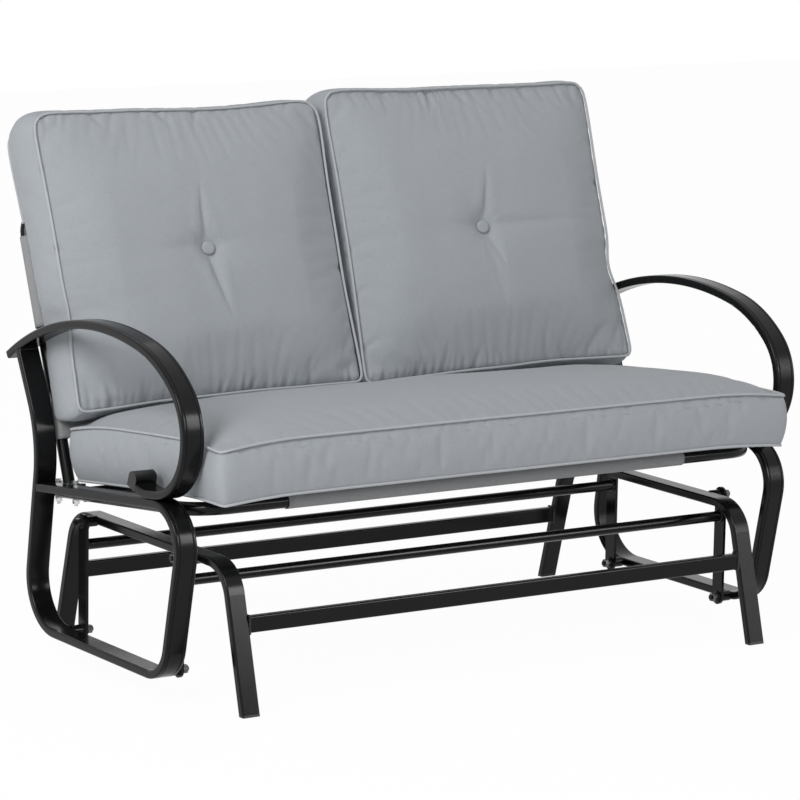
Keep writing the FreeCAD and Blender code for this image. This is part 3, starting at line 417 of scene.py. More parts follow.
class BoxedForm:
    """Rule that gives a boxed cushion's points from places on its panel and its boxing."""

    def __init__(self, rest, look, seed, foot, head, crown, outer=0, droop=0.0, flare=0.0,
                 settled_up=NO_MOVE, settled_out=NO_MOVE):
        self.rest = rest
        self.look = look
        self.seed = seed
        self.foot = foot
        self.head = head
        self.crown = crown
        self.outer = outer
        self.head_bulge = look.head_bulge if outer else look.bulge
        self.head_corner = look.head_corner if outer else look.corner
        self.overhang = look.head_overhang if outer else 0.0
        self.back_inset = BACK_SEAM_INSET / 3 if outer else BACK_SEAM_INSET
        self.droop = droop
        self.flare = flare
        self.settled_up = settled_up
        self.settled_out = settled_out
        self.half_u = rest.half_u - look.bulge - flare
        self.half_v = rest.half_v - look.bulge

    def edge(self, v):
        """Height of the face seam at a place along the panel."""
        share = 0.5 + v / (2 * self.half_v)
        return SEAM_SHARE * (self.foot + (self.head - self.foot) * share)

    def wander(self, place, row):
        """Slow stray of a sewn seam."""
        spot = Vector((place * WANDER_RATE, row * 9.1, self.seed * 3.7))
        return self.look.seam_wander * noise.noise(spot)

    def outline(self, s, t, inset):
        """Place of a grid point on a panel with round corners and sides drawn in."""
        half_u = self.half_u - inset
        half_v = self.half_v - inset
        corner = self.head_corner if t > 0 else self.look.corner
        near_u = abs(s) ** (ROUND_STEEPNESS * half_u / corner)
        near_v = abs(t) ** (ROUND_STEEPNESS * half_v / corner)
        cut = ARC_SLACK * corner * near_u * near_v
        u = s * (half_u + self.flare * (t * t - t) / 2 - cut - self.look.pull * (1 - t * t) * s * s)
        v = t * (half_v - cut - self.look.pull * (1 - s * s) * t * t)
        v += self.wander(u, 1 if t > 0 else 2) * t ** 4 * (1 - abs(s) ** 6)
        u += self.wander(v, 3 if s > 0 else 4) * s ** 4 * (1 - abs(t) ** 6) * SIDE_WANDER
        move_u, move_v = self.settle(s, t)
        return u + move_u, v + move_v

    def settle(self, s, t):
        """Shift of a grid point by the cushion's settling, less where the arm dents it."""
        out = (1 + s * self.outer) / 2
        head = (1 + t) / 2
        shares = ((1 - out) * head, out * head, (1 - out) * (1 - head), out * (1 - head))
        dent = 1 - math.exp(-((t - ARM_LEVEL) / ARM_DENT) ** 2)
        ways = (-1, dent, -1, dent)
        move_u = self.outer * sum(a * b * way for a, b, way in zip(shares, self.settled_out, ways))
        move_v = sum(a * b for a, b in zip(shares, self.settled_up))
        return move_u, move_v

    def dome(self, s, t):
        """Share of the crown at a grid point: rolled over at the seam, gently full in the middle."""
        far_u = 1 - math.exp(-self.half_u * (1 - abs(s)) / EDGE_ROLL)
        far_v = 1 - math.exp(-self.half_v * (1 - abs(t)) / EDGE_ROLL)
        return far_u * far_v * (DOME_RIM + DOME_MIDDLE * (1 - s * s) * (1 - t * t))

    def hang(self, s, t):
        """Fall of a corner below the line of its seam."""
        along_u = 1 - self.half_u * (1 - abs(s)) / HANG_REACH
        along_v = 1 - self.half_v * (1 - abs(t)) / HANG_REACH
        return self.droop * max(along_u, 0) ** 2 * max(along_v, 0) ** 2

    def face_point(self, s, t):
        u, v = self.outline(s, t, 0)
        w = self.edge(v) + self.crown * self.dome(s, t) - self.hang(s, t)
        return u, v, w

    def back_point(self, s, t):
        u, v = self.outline(s, t, self.back_inset)
        rim = max(abs(s), abs(t)) ** RIM_POWER
        hang = self.hang(s, t) if t < 0 else 0
        past = max(t - BACK_FRAME_TOP, 0) / (1 - BACK_FRAME_TOP)
        beside = max(s * self.outer, 0) ** BESIDE_POWER
        sunk = self.overhang * max(past * past * (3 - 2 * past), beside)
        return u, v, BACK_SEAM_HEIGHT * rim - BACK_HANG * hang - sunk

    def band_point(self, s, t, share):
        """Place on the boxing, from the face seam at 0 to the back seam at 1."""
        face = self.face_point(s, t)
        back = self.back_point(s, t)
        side = Vector((s ** 9, t ** 9, 0))
        side.normalize()
        full = self.head_bulge if t > 0 else self.look.bulge
        flank = self.look.bulge
        if self.outer:
            flank = self.look.outer_bulge if s * self.outer > 0 else self.look.inner_bulge
        bulge = flank * abs(side.x) + full * abs(side.y)
        swell = math.sin(math.pi * share) ** SWELL_POWER * bulge
        point = [a + (b - a) * share for a, b in zip(face, back)]
        return point[0] + side.x * swell, point[1] + side.y * swell, point[2]


def rim_cells(count_u, count_v):
    """Grid cells round the edge of a panel, counter-clockwise seen from its face."""
    cells = [(i, 0) for i in range(count_u)]
    cells += [(count_u, j) for j in range(count_v)]
    cells += [(i, count_v) for i in range(count_u, 0, -1)]
    cells += [(0, j) for j in range(count_v, 0, -1)]
    return cells


def cushion_shell(name, form, material):
    """Closed cover of a boxed cushion, with the points of its two seams and those that stay put."""
    rise = form.look.grid_rise
    along = min(max(form.look.grid_share * 2 * form.half_u, GRID_LEAST), GRID_MOST)
    count_u = 2 * round(form.half_u / along)
    count_v = 2 * round(form.half_v / rise)
    thickness = (form.foot + form.head) / 2
    rows = max(LEAST_ROWS, round(thickness / rise))
    points, faces, uvs = [], [], []
    rims = rim_cells(count_u, count_v)
    around = len(rims)

    def shares(i, j):
        return 2 * i / count_u - 1, 2 * j / count_v - 1

    panels = []
    for make in (form.face_point, form.back_point):
        table = {}
        for i in range(count_u + 1):
            for j in range(count_v + 1):
                table[i, j] = len(points)
                points.append(make(*shares(i, j)))
        panels.append(table)
    for table, turned in zip(panels, (False, True)):
        for i in range(count_u):
            for j in range(count_v):
                ring = [table[i, j], table[i + 1, j], table[i + 1, j + 1], table[i, j + 1]]
                if turned:
                    ring.reverse()
                faces.append(ring)
                uvs += [points[k][:2] for k in ring]
    levels = [[panels[0][cell] for cell in rims]]
    for row in range(1, rows):
        levels.append(list(range(len(points), len(points) + around)))
        points += [form.band_point(*shares(*cell), row / rows) for cell in rims]
    levels.append([panels[1][cell] for cell in rims])
    girth = [0.0]
    for k in range(around):
        step = Vector(points[levels[0][(k + 1) % around]]) - Vector(points[levels[0][k]])
        girth.append(girth[-1] + step.length)
    drop = thickness / rows
    for row in range(rows):
        for k in range(around):
            after = (k + 1) % around
            faces.append([levels[row][k], levels[row + 1][k], levels[row + 1][after], levels[row][after]])
            high, low = row * drop, (row + 1) * drop
            uvs += [(girth[k], high), (girth[k], low), (girth[k + 1], low), (girth[k + 1], high)]
    placed = [form.rest.at(*point) for point in points]
    obj = new_object(name, placed, faces, material, uvs)
    seams = [[placed[index].copy() for index in levels[row]] for row in (0, rows)]
    held = set(levels[0]) | set(panels[1].values())
    return obj, seams, held


COVER_CLOTH = {
    "quality": 5,
    "mass": 0.3,
    "tension_stiffness": 15,
    "compression_stiffness": 15,
    "shear_stiffness": 5,
    "bending_stiffness": 1.0,
    "use_pressure": True,
}


def stuff(obj, form, held, cap):
    """Swells a cover by its stuffing, with its seams and its resting panel held."""
    look = form.look
    start = [vertex.co.copy() for vertex in obj.data.vertices]
    pins = obj.vertex_groups.new(name="seams")
    pins.add(sorted(held), 1.0, "REPLACE")
    cloth = obj.modifiers.new("stuffing", "CLOTH")
    for key, value in COVER_CLOTH.items():
        setattr(cloth.settings, key, value)
    cloth.settings.shrink_min = -look.ease
    cloth.settings.uniform_pressure_force = look.pressure
    cloth.settings.effector_weights.gravity = 0
    cloth.settings.vertex_group_mass = pins.name
    cloth.collision_settings.use_collision = False
    cloth.collision_settings.use_self_collision = False
    cloth.point_cache.frame_start = 1
    cloth.point_cache.frame_end = look.frames
    scene = bpy.context.scene
    for number in range(1, look.frames + 1):
        scene.frame_set(number)
    swollen = evaluated_mesh(obj)
    for vertex, before, after in zip(obj.data.vertices, start, swollen.vertices):
        move = after.co - before
        if move.length > cap:
            move = move.normalized() * cap
        vertex.co = before + move
    obj.modifiers.remove(cloth)
    obj.vertex_groups.remove(pins)
    bpy.data.meshes.remove(swollen)
    scene.frame_set(1)


# Creases along a seam: distance from one to the next, depth and reach
LONG_PUCKERS = (0.038, 0.0064, 0.058)
SIDE_PUCKERS = (0.080, 0.0046, 0.050)
BAND_PUCKERS = (0.05, 0.0026, 0.035)
PUCKER_SLANT = 0.6
PUCKER_WIDTHS = (0.0042, 0.0072)
CREASE_FADE = 1.3
GATHER_DEPTH = 0.0024
GATHER_SLANT = 0.15
GATHER_STEPS = (0.013, 0.019)
GATHER_WIDTHS = (0.0034, 0.0046)
GATHER_REACHES = (0.018, 0.044)
SHOULDER_HEIGHT = 0.28
SHOULDER_PLACE = 3.0
SHOULDER_WIDTH = 1.8


def pucker_row(draw, half, kind, strength):
    """Short creases along one seam: place, slant, depth, width and reach of each."""
    every, deepest, reach = kind
    deepest *= strength
    row = []
    place = -half + every * draw.random()
    while place < half:
        row.append((
            place, draw.uniform(-PUCKER_SLANT, PUCKER_SLANT),
            deepest * draw.uniform(0.25, 1.0) ** CREASE_FADE,
            draw.uniform(*PUCKER_WIDTHS), reach * draw.uniform(0.35, 1.0),
        ))
        place += every * draw.uniform(0.4, 1.8)
    return row


def gather_row(draw, half, clusters, deepest):
    """Close gathers in a few stretches of a seam, as the same kind of creases."""
    row = []
    for _ in range(clusters):
        middle = draw.uniform(-0.85, 0.85) * half
        count = draw.randint(5, 9)
        for k in range(count):
            place = middle + (k - count / 2) * draw.uniform(*GATHER_STEPS)
            row.append((
                place, draw.uniform(-GATHER_SLANT, GATHER_SLANT), deepest * draw.uniform(0.4, 1.0),
                draw.uniform(*GATHER_WIDTHS), draw.uniform(*GATHER_REACHES),
            ))
    return row


def pucker_depth(row, place, distance):
    """Depth of the creases of one seam at a place along it and a distance from it."""
    depth = 0.0
    for middle, slant, deepest, width, reach in row:
        if distance < reach:
            offset = (place - middle - slant * distance) / width
            if abs(offset) < 3:
                depth += deepest * math.exp(-offset * offset) * (1 - distance / reach) ** CREASE_FADE
    return depth


def valley(offset, depth, width):
    """A crease with soft shoulders across it."""
    trough = depth * math.exp(-(offset / width) ** 2)
    beside = (abs(offset) - SHOULDER_PLACE * width) / (SHOULDER_WIDTH * width)
    return trough - SHOULDER_HEIGHT * depth * math.exp(-beside ** 2)


# Arms of the crease round each button: direction in degrees, curl, length, depth and width
TUFT_ARMS = {
    "left": (
        (96, -0.10, 0.115, 0.0120, 0.0056),
        (-87, 0.14, 0.125, 0.0125, 0.0056),
        (172, 0.10, 0.095, 0.0066, 0.0080),
        (138, -0.10, 0.060, 0.0056, 0.0075),
        (16, -0.10, 0.080, 0.0042, 0.0070),
        (-40, 0.10, 0.055, 0.0036, 0.0070),
    ),
    "right": (
        (74, 0.10, 0.110, 0.0120, 0.0058),
        (-62, -0.16, 0.085, 0.0105, 0.0056),
        (170, 0.05, 0.080, 0.0066, 0.0080),
        (128, 0.05, 0.055, 0.0050, 0.0075),
        (2, -0.03, 0.260, 0.0050, 0.0060),
        (-84, 0.02, 0.190, 0.0030, 0.0080),
    ),
}


# Broad pulls across and up through a button: depth, width and length
TUFT_LEVEL = (0.0030, 0.024, 0.25)
TUFT_UPRIGHT = (0.0024, 0.030, 0.21)
TUFT_CORE = 0.012


def tuft_depth(arms, u, v):
    """Draw of the button beside its dimple: creases that fan out from it and die away."""
    depth = 0.0
    for direction, curl, length, deepest, width in arms:
        angle = math.radians(direction)
        along = u * math.cos(angle) + v * math.sin(angle)
        if 0 < along < length:
            share = along / length
            offset = v * math.cos(angle) - u * math.sin(angle) - curl * along * share
            depth += valley(offset, deepest * (1 - share) ** 1.25, width * (1.35 - 0.80 * share))
    for offset, along, (deepest, width, length) in ((v, u, TUFT_LEVEL), (u, v, TUFT_UPRIGHT)):
        depth += deepest * math.exp(-(offset / width) ** 2) * max(0.0, 1 - abs(along) / length)
    return depth * min(1.0, math.hypot(u, v) / TUFT_CORE)


SEAM_DITCH = 0.0027
SEAM_DITCH_WIDTH = 0.0052
DENT_DEPTH = 0.0040
DENT_MARGIN = 0.06
BROAD_DENTS = 6.5
SMALL_DENTS = 17
SMALL_DENT_SHARE = 0.35
DIMPLE_FLAT = 0.009
DIMPLE_FADE = 0.029
FACE_SLACK = 0.004
BAND_REACH = 0.05


def crease(obj, form, strength, tuft):
    """Sinks puckers, slow dents and any tuft, as (floor, arms, middle), into the subdivided cover."""
    draw = random.Random(form.seed * 11)
    rows = []
    for side in range(4):
        if side < 2:
            row = pucker_row(draw, form.half_u, LONG_PUCKERS, strength)
            row += gather_row(draw, form.half_u, 4 + 2 * side, GATHER_DEPTH * strength)
        else:
            row = pucker_row(draw, form.half_v, SIDE_PUCKERS, strength)
        rows.append(row)
    band_rows = [pucker_row(draw, form.half_u, BAND_PUCKERS, strength) for _ in range(2)]
    normals = [vertex.normal.copy() for vertex in obj.data.vertices]
    for vertex, normal in zip(obj.data.vertices, normals):
        u, v, w = form.rest.local(vertex.co)
        facing = normal.dot(form.rest.out)
        rise = w - form.edge(v)
        if facing > 0.15 and rise > -0.6 * form.droop - FACE_SLACK:
            gaps = (form.half_v - v, form.half_v + v, form.half_u - u, form.half_u + u)
            sink = 0.0
            for row, place, gap in zip(rows, (u, u, v, v), gaps):
                sink += pucker_depth(row, place, max(gap - 0.5 * form.look.pull, 0))
            nearest = max(min(gaps), 0)
            broad = Vector((u * BROAD_DENTS, v * BROAD_DENTS, form.seed * 5.1))
            small = Vector((u * SMALL_DENTS, v * SMALL_DENTS, form.seed * 8.3))
            dents = noise.noise(broad) + SMALL_DENT_SHARE * noise.noise(small)
            sink += DENT_DEPTH * strength * min(1.0, nearest / DENT_MARGIN) * dents
            sink += SEAM_DITCH * math.exp(-(nearest / SEAM_DITCH_WIDTH) ** 2)
            if tuft:
                floor, arms, middle = tuft
                beside, above = u - middle[0], v - middle[1]
                sink += tuft_depth(arms, beside, above)
                draw_in = math.exp(-max(math.hypot(beside, above) - DIMPLE_FLAT, 0) / DIMPLE_FADE)
                sink += max(w - sink - floor, 0) * draw_in
            vertex.co -= form.rest.out * sink
        elif facing > -0.5 and -rise < BAND_REACH:
            row = band_rows[0] if v > 0 else band_rows[1]
            sink = pucker_depth(row, u if abs(v) > form.half_v * 0.9 else v, max(-rise, 0))
            vertex.co -= normal * sink


PIPING_SIDES = 12
PIPING_PROUD = 0.45
PIPING_LIFT = 0.001
BIAS = 0.7071


def piping_loop(name, form, seam, material):
    """Covered cord sewn into a seam, as a closed tube of cloth cut on the bias."""
    radius = form.look.piping / 2
    count = len(seam)
    sides = PIPING_SIDES
    points, faces, uvs = [], [], []
    centre = sum(seam, Vector()) / count
    girth = 0.0
    lengths = []
    for k, spot in enumerate(seam):
        ahead = seam[(k + 1) % count] - seam[k - 1]
        ahead.normalize()
        outward = ahead.cross(form.rest.out).normalized()
        if outward.dot(spot - centre) < 0:
            outward = -outward
        rise = outward.cross(ahead).normalized()
        if rise.dot(form.rest.out) < 0:
            rise = -rise
        middle = spot + outward * (PIPING_PROUD * radius) + form.rest.out * PIPING_LIFT
        lengths.append(girth)
        girth += (seam[(k + 1) % count] - spot).length
        for side in range(sides):
            angle = math.tau * side / sides
            points.append(middle + outward * (radius * math.cos(angle)) + rise * (radius * math.sin(angle)))
    lengths.append(girth)
    round_length = math.tau * radius
    for k in range(count):
        after = (k + 1) % count
        for side in range(sides):
            turn = (side + 1) % sides
            faces.append([k * sides + side, k * sides + turn, after * sides + turn, after * sides + side])
            low, high = round_length * side / sides, round_length * (side + 1) / sides
            near, far = lengths[k], lengths[k + 1]
            corners = ((near, low), (near, high), (far, high), (far, low))
            uvs += [((a + b) * BIAS, (b - a) * BIAS) for a, b in corners]
    obj = new_object(name, points, faces, material, uvs)
    first = obj.data.polygons[0]
    if first.normal.dot(first.center - seam[0]) < 0:
        obj.data.flip_normals()
    return obj


def finish_cushion(node, form, cap, strength, tuft=None):
    """One cushion: cover, stuffing, subdivision, creases and its two piping loops."""
    cover, seams, held = cushion_shell(node + "_cover", form, finish("grey_cushion_weave"))
    stuff(cover, form, held, cap)
    smooth = cover.modifiers.new("smooth", "SUBSURF")
    smooth.levels = 1
    smooth.render_levels = 1
    bake_modifiers(cover)
    crease(cover, form, strength, tuft)
    cover.data.update()
    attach(cover, "seat")
    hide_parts(node)
    for seam, word in zip(seams, ("face", "back")):
        cord = piping_loop(node + "_" + word + "_piping", form, seam, finish("pale_piping_weave"))
        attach(cord, "seat")


# Repeats along a path

def repeat_tree():
    """Geometry nodes that set small rounded lumps along every edge path of a mesh."""
    tree, source, result = new_group(
        "repeat_along_path", "GeometryNodeTree",
        (("Geometry", "Geometry"), ("Spacing", "Float", 0.004), ("Size", "Vector"),
         ("Jitter", "Float", 0.1), ("Seed", "Int", 1), ("Material", "Material")),
        (("Geometry", "Geometry"),))
    path = add_node(tree, "GeometryNodeMeshToCurve", {"Mesh": source["Geometry"]})
    spots = add_node(
        tree, "GeometryNodeCurveToPoints", {"Curve": path.outputs[0], "Length": source["Spacing"]},
        mode="LENGTH").outputs
    lump = add_node(tree, "GeometryNodeMeshUVSphere", {"Segments": 8, "Rings": 5, "Radius": 1.0})
    least = math_node(tree, "SUBTRACT", 1.0, source["Jitter"])
    most = math_node(tree, "ADD", 1.0, source["Jitter"])
    vary = add_node(
        tree, "FunctionNodeRandomValue", {2: least, 3: most, "Seed": source["Seed"]}, data_type="FLOAT")
    scale = add_node(
        tree, "ShaderNodeVectorMath", {0: source["Size"], "Scale": vary.outputs[1]}, operation="SCALE")
    placed = add_node(tree, "GeometryNodeInstanceOnPoints", {
        "Points": spots["Points"], "Instance": lump.outputs["Mesh"], "Rotation": spots["Rotation"],
        "Scale": scale.outputs[0]})
    real = add_node(tree, "GeometryNodeRealizeInstances", {0: placed.outputs[0]})
    soft = add_node(tree, "GeometryNodeSetShadeSmooth", {0: real.outputs[0]})
    dressed = add_node(
        tree, "GeometryNodeSetMaterial", {"Geometry": soft.outputs[0], "Material": source["Material"]})
    feed(tree, result, {0: dressed.outputs[0]})
    return tree


def repeat_along(name, paths, spacing, size, jitter, seed, material):
    """Object with lumps along the given paths; a path that ends where it starts is a ring."""
    points, edges = [], []
    for path in paths:
        first = len(points)
        closed = (path[0] - path[-1]).length < 1e-6
        kept = path[:-1] if closed else path
        points += [tuple(spot) for spot in kept]
        edges += [(first + k, first + k + 1) for k in range(len(kept) - 1)]
        if closed:
            edges.append((first + len(kept) - 1, first))
    mesh = bpy.data.meshes.new(name)
    mesh.from_pydata(points, edges, [])
    obj = bpy.data.objects.new(name, mesh)
    bpy.context.collection.objects.link(obj)
    tree = bpy.data.node_groups.get("repeat_along_path") or repeat_tree()
    repeat = obj.modifiers.new("repeat", "NODES")
    repeat.node_group = tree
    values = {"Spacing": spacing, "Size": size, "Jitter": jitter, "Seed": seed, "Material": material}
    for item in tree.interface.items_tree:
        if item.in_out == "INPUT" and item.name in values:
            repeat[item.identifier] = values[item.name]
    bake_modifiers(obj)
    return obj


# Slings

WRAP_TURN = math.radians(335)
WRAP_STEPS = 28
SLING_SAG = 0.003
SAG_POWER = 1.3
SEAT_SLING_STEPS = 36
SEAT_SLING_ROWS = 60
BACK_SLING_STEPS = 56
BACK_SLING_RISE = 0.006
SEAT_HEM_INSET = 0.004
BACK_HEM_INSET = 0.003

# Lowest and highest level of the openings beside the back's legs, and how far they reach past the sleeve
NOTCH = (0.060, 0.190)
NOTCH_CLEAR = 0.020

# Places of the rows of stitches, in half thicknesses from the bar
SEAT_HEMS = (1.7, 1.95)
BACK_HEMS = (1.75, 2.0)

# Jitter of the stitches' size, and its seed
STITCH_CHANCE = (0.05, 5)


def sag(share):
    """Fall of a sling at a share of the way between its bars."""
    return SLING_SAG * math.sin(math.pi * share) ** SAG_POWER


def wrapped_path(span, radius, steps):
    """Cross-section of cloth round one bar, over to the next and round that one, as (place, height)."""
    top = math.pi / 2
    path = []
    for k in range(WRAP_STEPS):
        angle = top + WRAP_TURN * (1 - k / WRAP_STEPS)
        path.append((radius * math.cos(angle), radius * math.sin(angle)))
    for k in range(steps + 1):
        share = k / steps
        path.append((span * share, radius - sag(share)))
    for k in range(1, WRAP_STEPS + 1):
        angle = top - WRAP_TURN * k / WRAP_STEPS
        path.append((span + radius * math.cos(angle), radius * math.sin(angle)))
    return path


def even_rows(half, count):
    return [2 * half * k / count - half for k in range(count + 1)]


def sling_cloth(name, columns, rows, place, thickness, keeps=lambda i, j: True):
    """Cloth on a table of columns and rows, with the cells that keeps() refuses left open."""
    points = [place(column, row) for row in rows for column in columns]
    width = len(columns)
    reach = [0.0]
    for a, b in zip(columns, columns[1:]):
        reach.append(reach[-1] + math.dist(a, b))
    faces, uvs = [], []
    for j in range(len(rows) - 1):
        for i in range(width - 1):
            if keeps(i, j):
                low, high = j * width + i, (j + 1) * width + i
                faces.append([low, low + 1, high + 1, high])
                uvs += [
                    (reach[i], rows[j]), (reach[i + 1], rows[j]),
                    (reach[i + 1], rows[j + 1]), (reach[i], rows[j + 1]),
                ]
    used = sorted({index for face in faces for index in face})
    fresh = {old: new for new, old in enumerate(used)}
    faces = [[fresh[index] for index in face] for face in faces]
    obj = new_object(name, [points[index] for index in used], faces, finish("grey_sling_weave"), uvs)
    wall = obj.modifiers.new("cloth", "SOLIDIFY")
    wall.thickness = thickness
    wall.offset = 0
    bake_modifiers(obj)
    return obj


# Operators

FINISHES = {
    "frame_black": "satin_black_coat",
    "zinc_steel": "bright_zinc_plate",
    "plug_plastic": "black_moulded_plastic",
    "bush_nylon": "black_nylon",
    "sling_fabric": "grey_sling_weave",
    "cushion_fabric": "grey_cushion_weave",
}
PIVOT_FINISHES = {
    "pivot_studs": "satin_black_coat",
    "pivot_washers": "black_zinc_plate",
    "pivot_locknuts": "black_zinc_plate",
}
PLATED = {"metallic": 1.0, "grain": 1500.0, "relief": 0.00002}
COVER_WEAVE = {"pitch": 0.0011, "slub": 0.16, "relief": 0.00018, "sheen": 0.12}
SLING_WEAVE = {"pitch": 0.0024, "slub": 0.22, "relief": 0.0004, "sheen": 0.05}


def seat_axis(look):
    """Direction along the seat from its front to its back."""
    return Vector((0, math.cos(look.seat_slope), -math.sin(look.seat_slope)))


def back_axis(look):
    """Direction up the back."""
    return Vector((0, math.sin(look.back_lean), math.cos(look.back_lean)))


class LOVESEAT_OT_finishes(bpy.types.Operator):
    """Makes the finishes and puts them on the frame's own pieces"""
    bl_idname = "loveseat.finishes"
    bl_label = "Finishes"

    def execute(self, context):
        colours = context.scene.loveseat_finishes
        plain_weave_group()
        fine_grain_group()
        settled_dust_group()
        hard_finish("satin_black_coat", colours.coat, 0.14, 0.22, specular=0.16, grain=1100.0, dust=0.004)
        hard_finish(
            "black_moulded_plastic", colours.plastic, 0.28, 0.40, specular=0.30, grain=700.0, dust=0.010)
        hard_finish("bright_zinc_plate", colours.zinc, 0.20, 0.36, dust=0.02, **PLATED)
        hard_finish("black_zinc_plate", colours.nut, 0.24, 0.38, dust=0.01, **PLATED)
        hard_finish("black_nylon", colours.nylon, 0.38, 0.50, specular=0.3, grain=600.0, dust=0.01)
        hard_finish("black_weld_bead", colours.coat, 0.24, 0.36, specular=0.3, grain=500.0, dust=0.0)
        cloth_finish("grey_cushion_weave", colours.cushion, **COVER_WEAVE)
        # The piping weave is paler than the cover weave as a painted highlight on the round cord
        cloth_finish("pale_piping_weave", colours.piping, **COVER_WEAVE)
        cloth_finish("grey_sling_weave", colours.sling, **SLING_WEAVE)
        hard_finish("grey_thread", colours.thread, 0.6, 0.75, grain=2500.0, relief=0.0001, dust=0.0)
        for name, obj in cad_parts.items():
            kind = name.partition("_")[2]
            for slot in obj.material_slots:
                first = slot.material.name.split(".")[0]
                slot.material = finish(PIVOT_FINISHES.get(kind) or FINISHES[first])
        return {"FINISHED"}


class LOVESEAT_OT_seat_cushion(bpy.types.Operator):
    """Makes the long boxed seat cushion with its piping"""
    bl_idname = "loveseat.seat_cushion"
    bl_label = "Seat cushion"

    def execute(self, context):
        look = context.scene.loveseat_cushions
        rest = Rest("seat_cushion", seat_axis(look))
        form = BoxedForm(
            rest, look, 3, look.seat_front_thickness, look.seat_rear_thickness, look.seat_crown,
            droop=look.corner_droop, flare=look.seat_flare)
        finish_cushion("seat_cushion", form, SEAT_SWELL, 0.6)
        return {"FINISHED"}


class LOVESEAT_OT_back_cushions(bpy.types.Operator):
    """Makes the two boxed back cushions with their piping"""
    bl_idname = "loveseat.back_cushions"
    bl_label = "Back cushions"

    def execute(self, context):
        look = context.scene.loveseat_cushions
        for side, seed, outer in (("left", 1, -1), ("right", 2, 1)):
            rest = Rest(side + "_back_cushion", back_axis(look))
            form = BoxedForm(
                rest, look, seed, look.foot_thickness, look.head_thickness, look.back_crown, outer,
                settled_up=SETTLED_UP[side], settled_out=SETTLED_OUT[side])
            reach = [point.dot(rest.out) for point in node_points("cushion_buttons")]
            floor = min(reach) - rest.origin.dot(rest.out)
            tuft = (floor, TUFT_ARMS[side], SETTLED_BUTTON[side])
            finish_cushion(side + "_back_cushion", form, BACK_SWELL, 1.0, tuft)
        return {"FINISHED"}


BUTTON_PROFILE = (
    (0.40, 1.00), (0.70, 0.97), (0.86, 0.90), (0.96, 0.72), (1.00, 0.46), (0.97, 0.18), (0.88, 0.0),
)
BUTTON_SIDES = 40
BUTTON_PLEATS = 10
PLEAT_DEPTH = 0.018


class LOVESEAT_OT_buttons(bpy.types.Operator):
    """Makes the cloth-covered buttons in the tufts"""
    bl_idname = "loveseat.buttons"
    bl_label = "Covered buttons"

    def execute(self, context):
        look = context.scene.loveseat_cushions
        along = back_axis(look)
        out = ACROSS.cross(along)
        points, faces, uvs = [], [], []
        for side, mirror in (("left", -1), ("right", 1)):
            spots = [spot for spot in node_points("cushion_buttons") if spot.x * mirror > 0]
            reach = [spot.dot(out) for spot in spots]
            left, right = min(spot.x for spot in spots), max(spot.x for spot in spots)
            radius = (right - left) / 2
            heights = [spot.dot(along) for spot in spots]
            move_u, move_v = SETTLED_BUTTON[side]
            foot = ACROSS * ((left + right) / 2 + move_u) + out * min(reach)
            foot += along * ((min(heights) + max(heights)) / 2 + move_v)
            rise = max(reach) - min(reach)
            first = len(points)
            points.append(foot + out * rise * 1.02)
            for share, level in BUTTON_PROFILE:
                for k in range(BUTTON_SIDES):
                    angle = math.tau * k / BUTTON_SIDES
                    pleat = 1 + PLEAT_DEPTH * math.cos(BUTTON_PLEATS * angle) * share * share
                    spoke = ACROSS * math.cos(angle) + along * math.sin(angle)
                    points.append(foot + spoke * (radius * share * pleat) + out * (rise * level))
            rings = [
                [first + 1 + ring * BUTTON_SIDES + k for k in range(BUTTON_SIDES)]
                for ring in range(len(BUTTON_PROFILE))]
            made = []
            for k in range(BUTTON_SIDES):
                turn = (k + 1) % BUTTON_SIDES
                made.append([first, rings[0][k], rings[0][turn]])
                for low, high in zip(rings, rings[1:]):
                    made.append([low[k], high[k], high[turn], low[turn]])
            made.append(rings[-1][::-1])
            faces += made
            for face in made:
                for index in face:
                    offset = points[index] - foot
                    uvs.append((offset.dot(ACROSS), offset.dot(along)))
        buttons = new_object("covered_buttons", points, faces, finish("grey_cushion_weave"), uvs)
        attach(buttons, "seat")
        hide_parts("cushion_buttons")
        return {"FINISHED"}


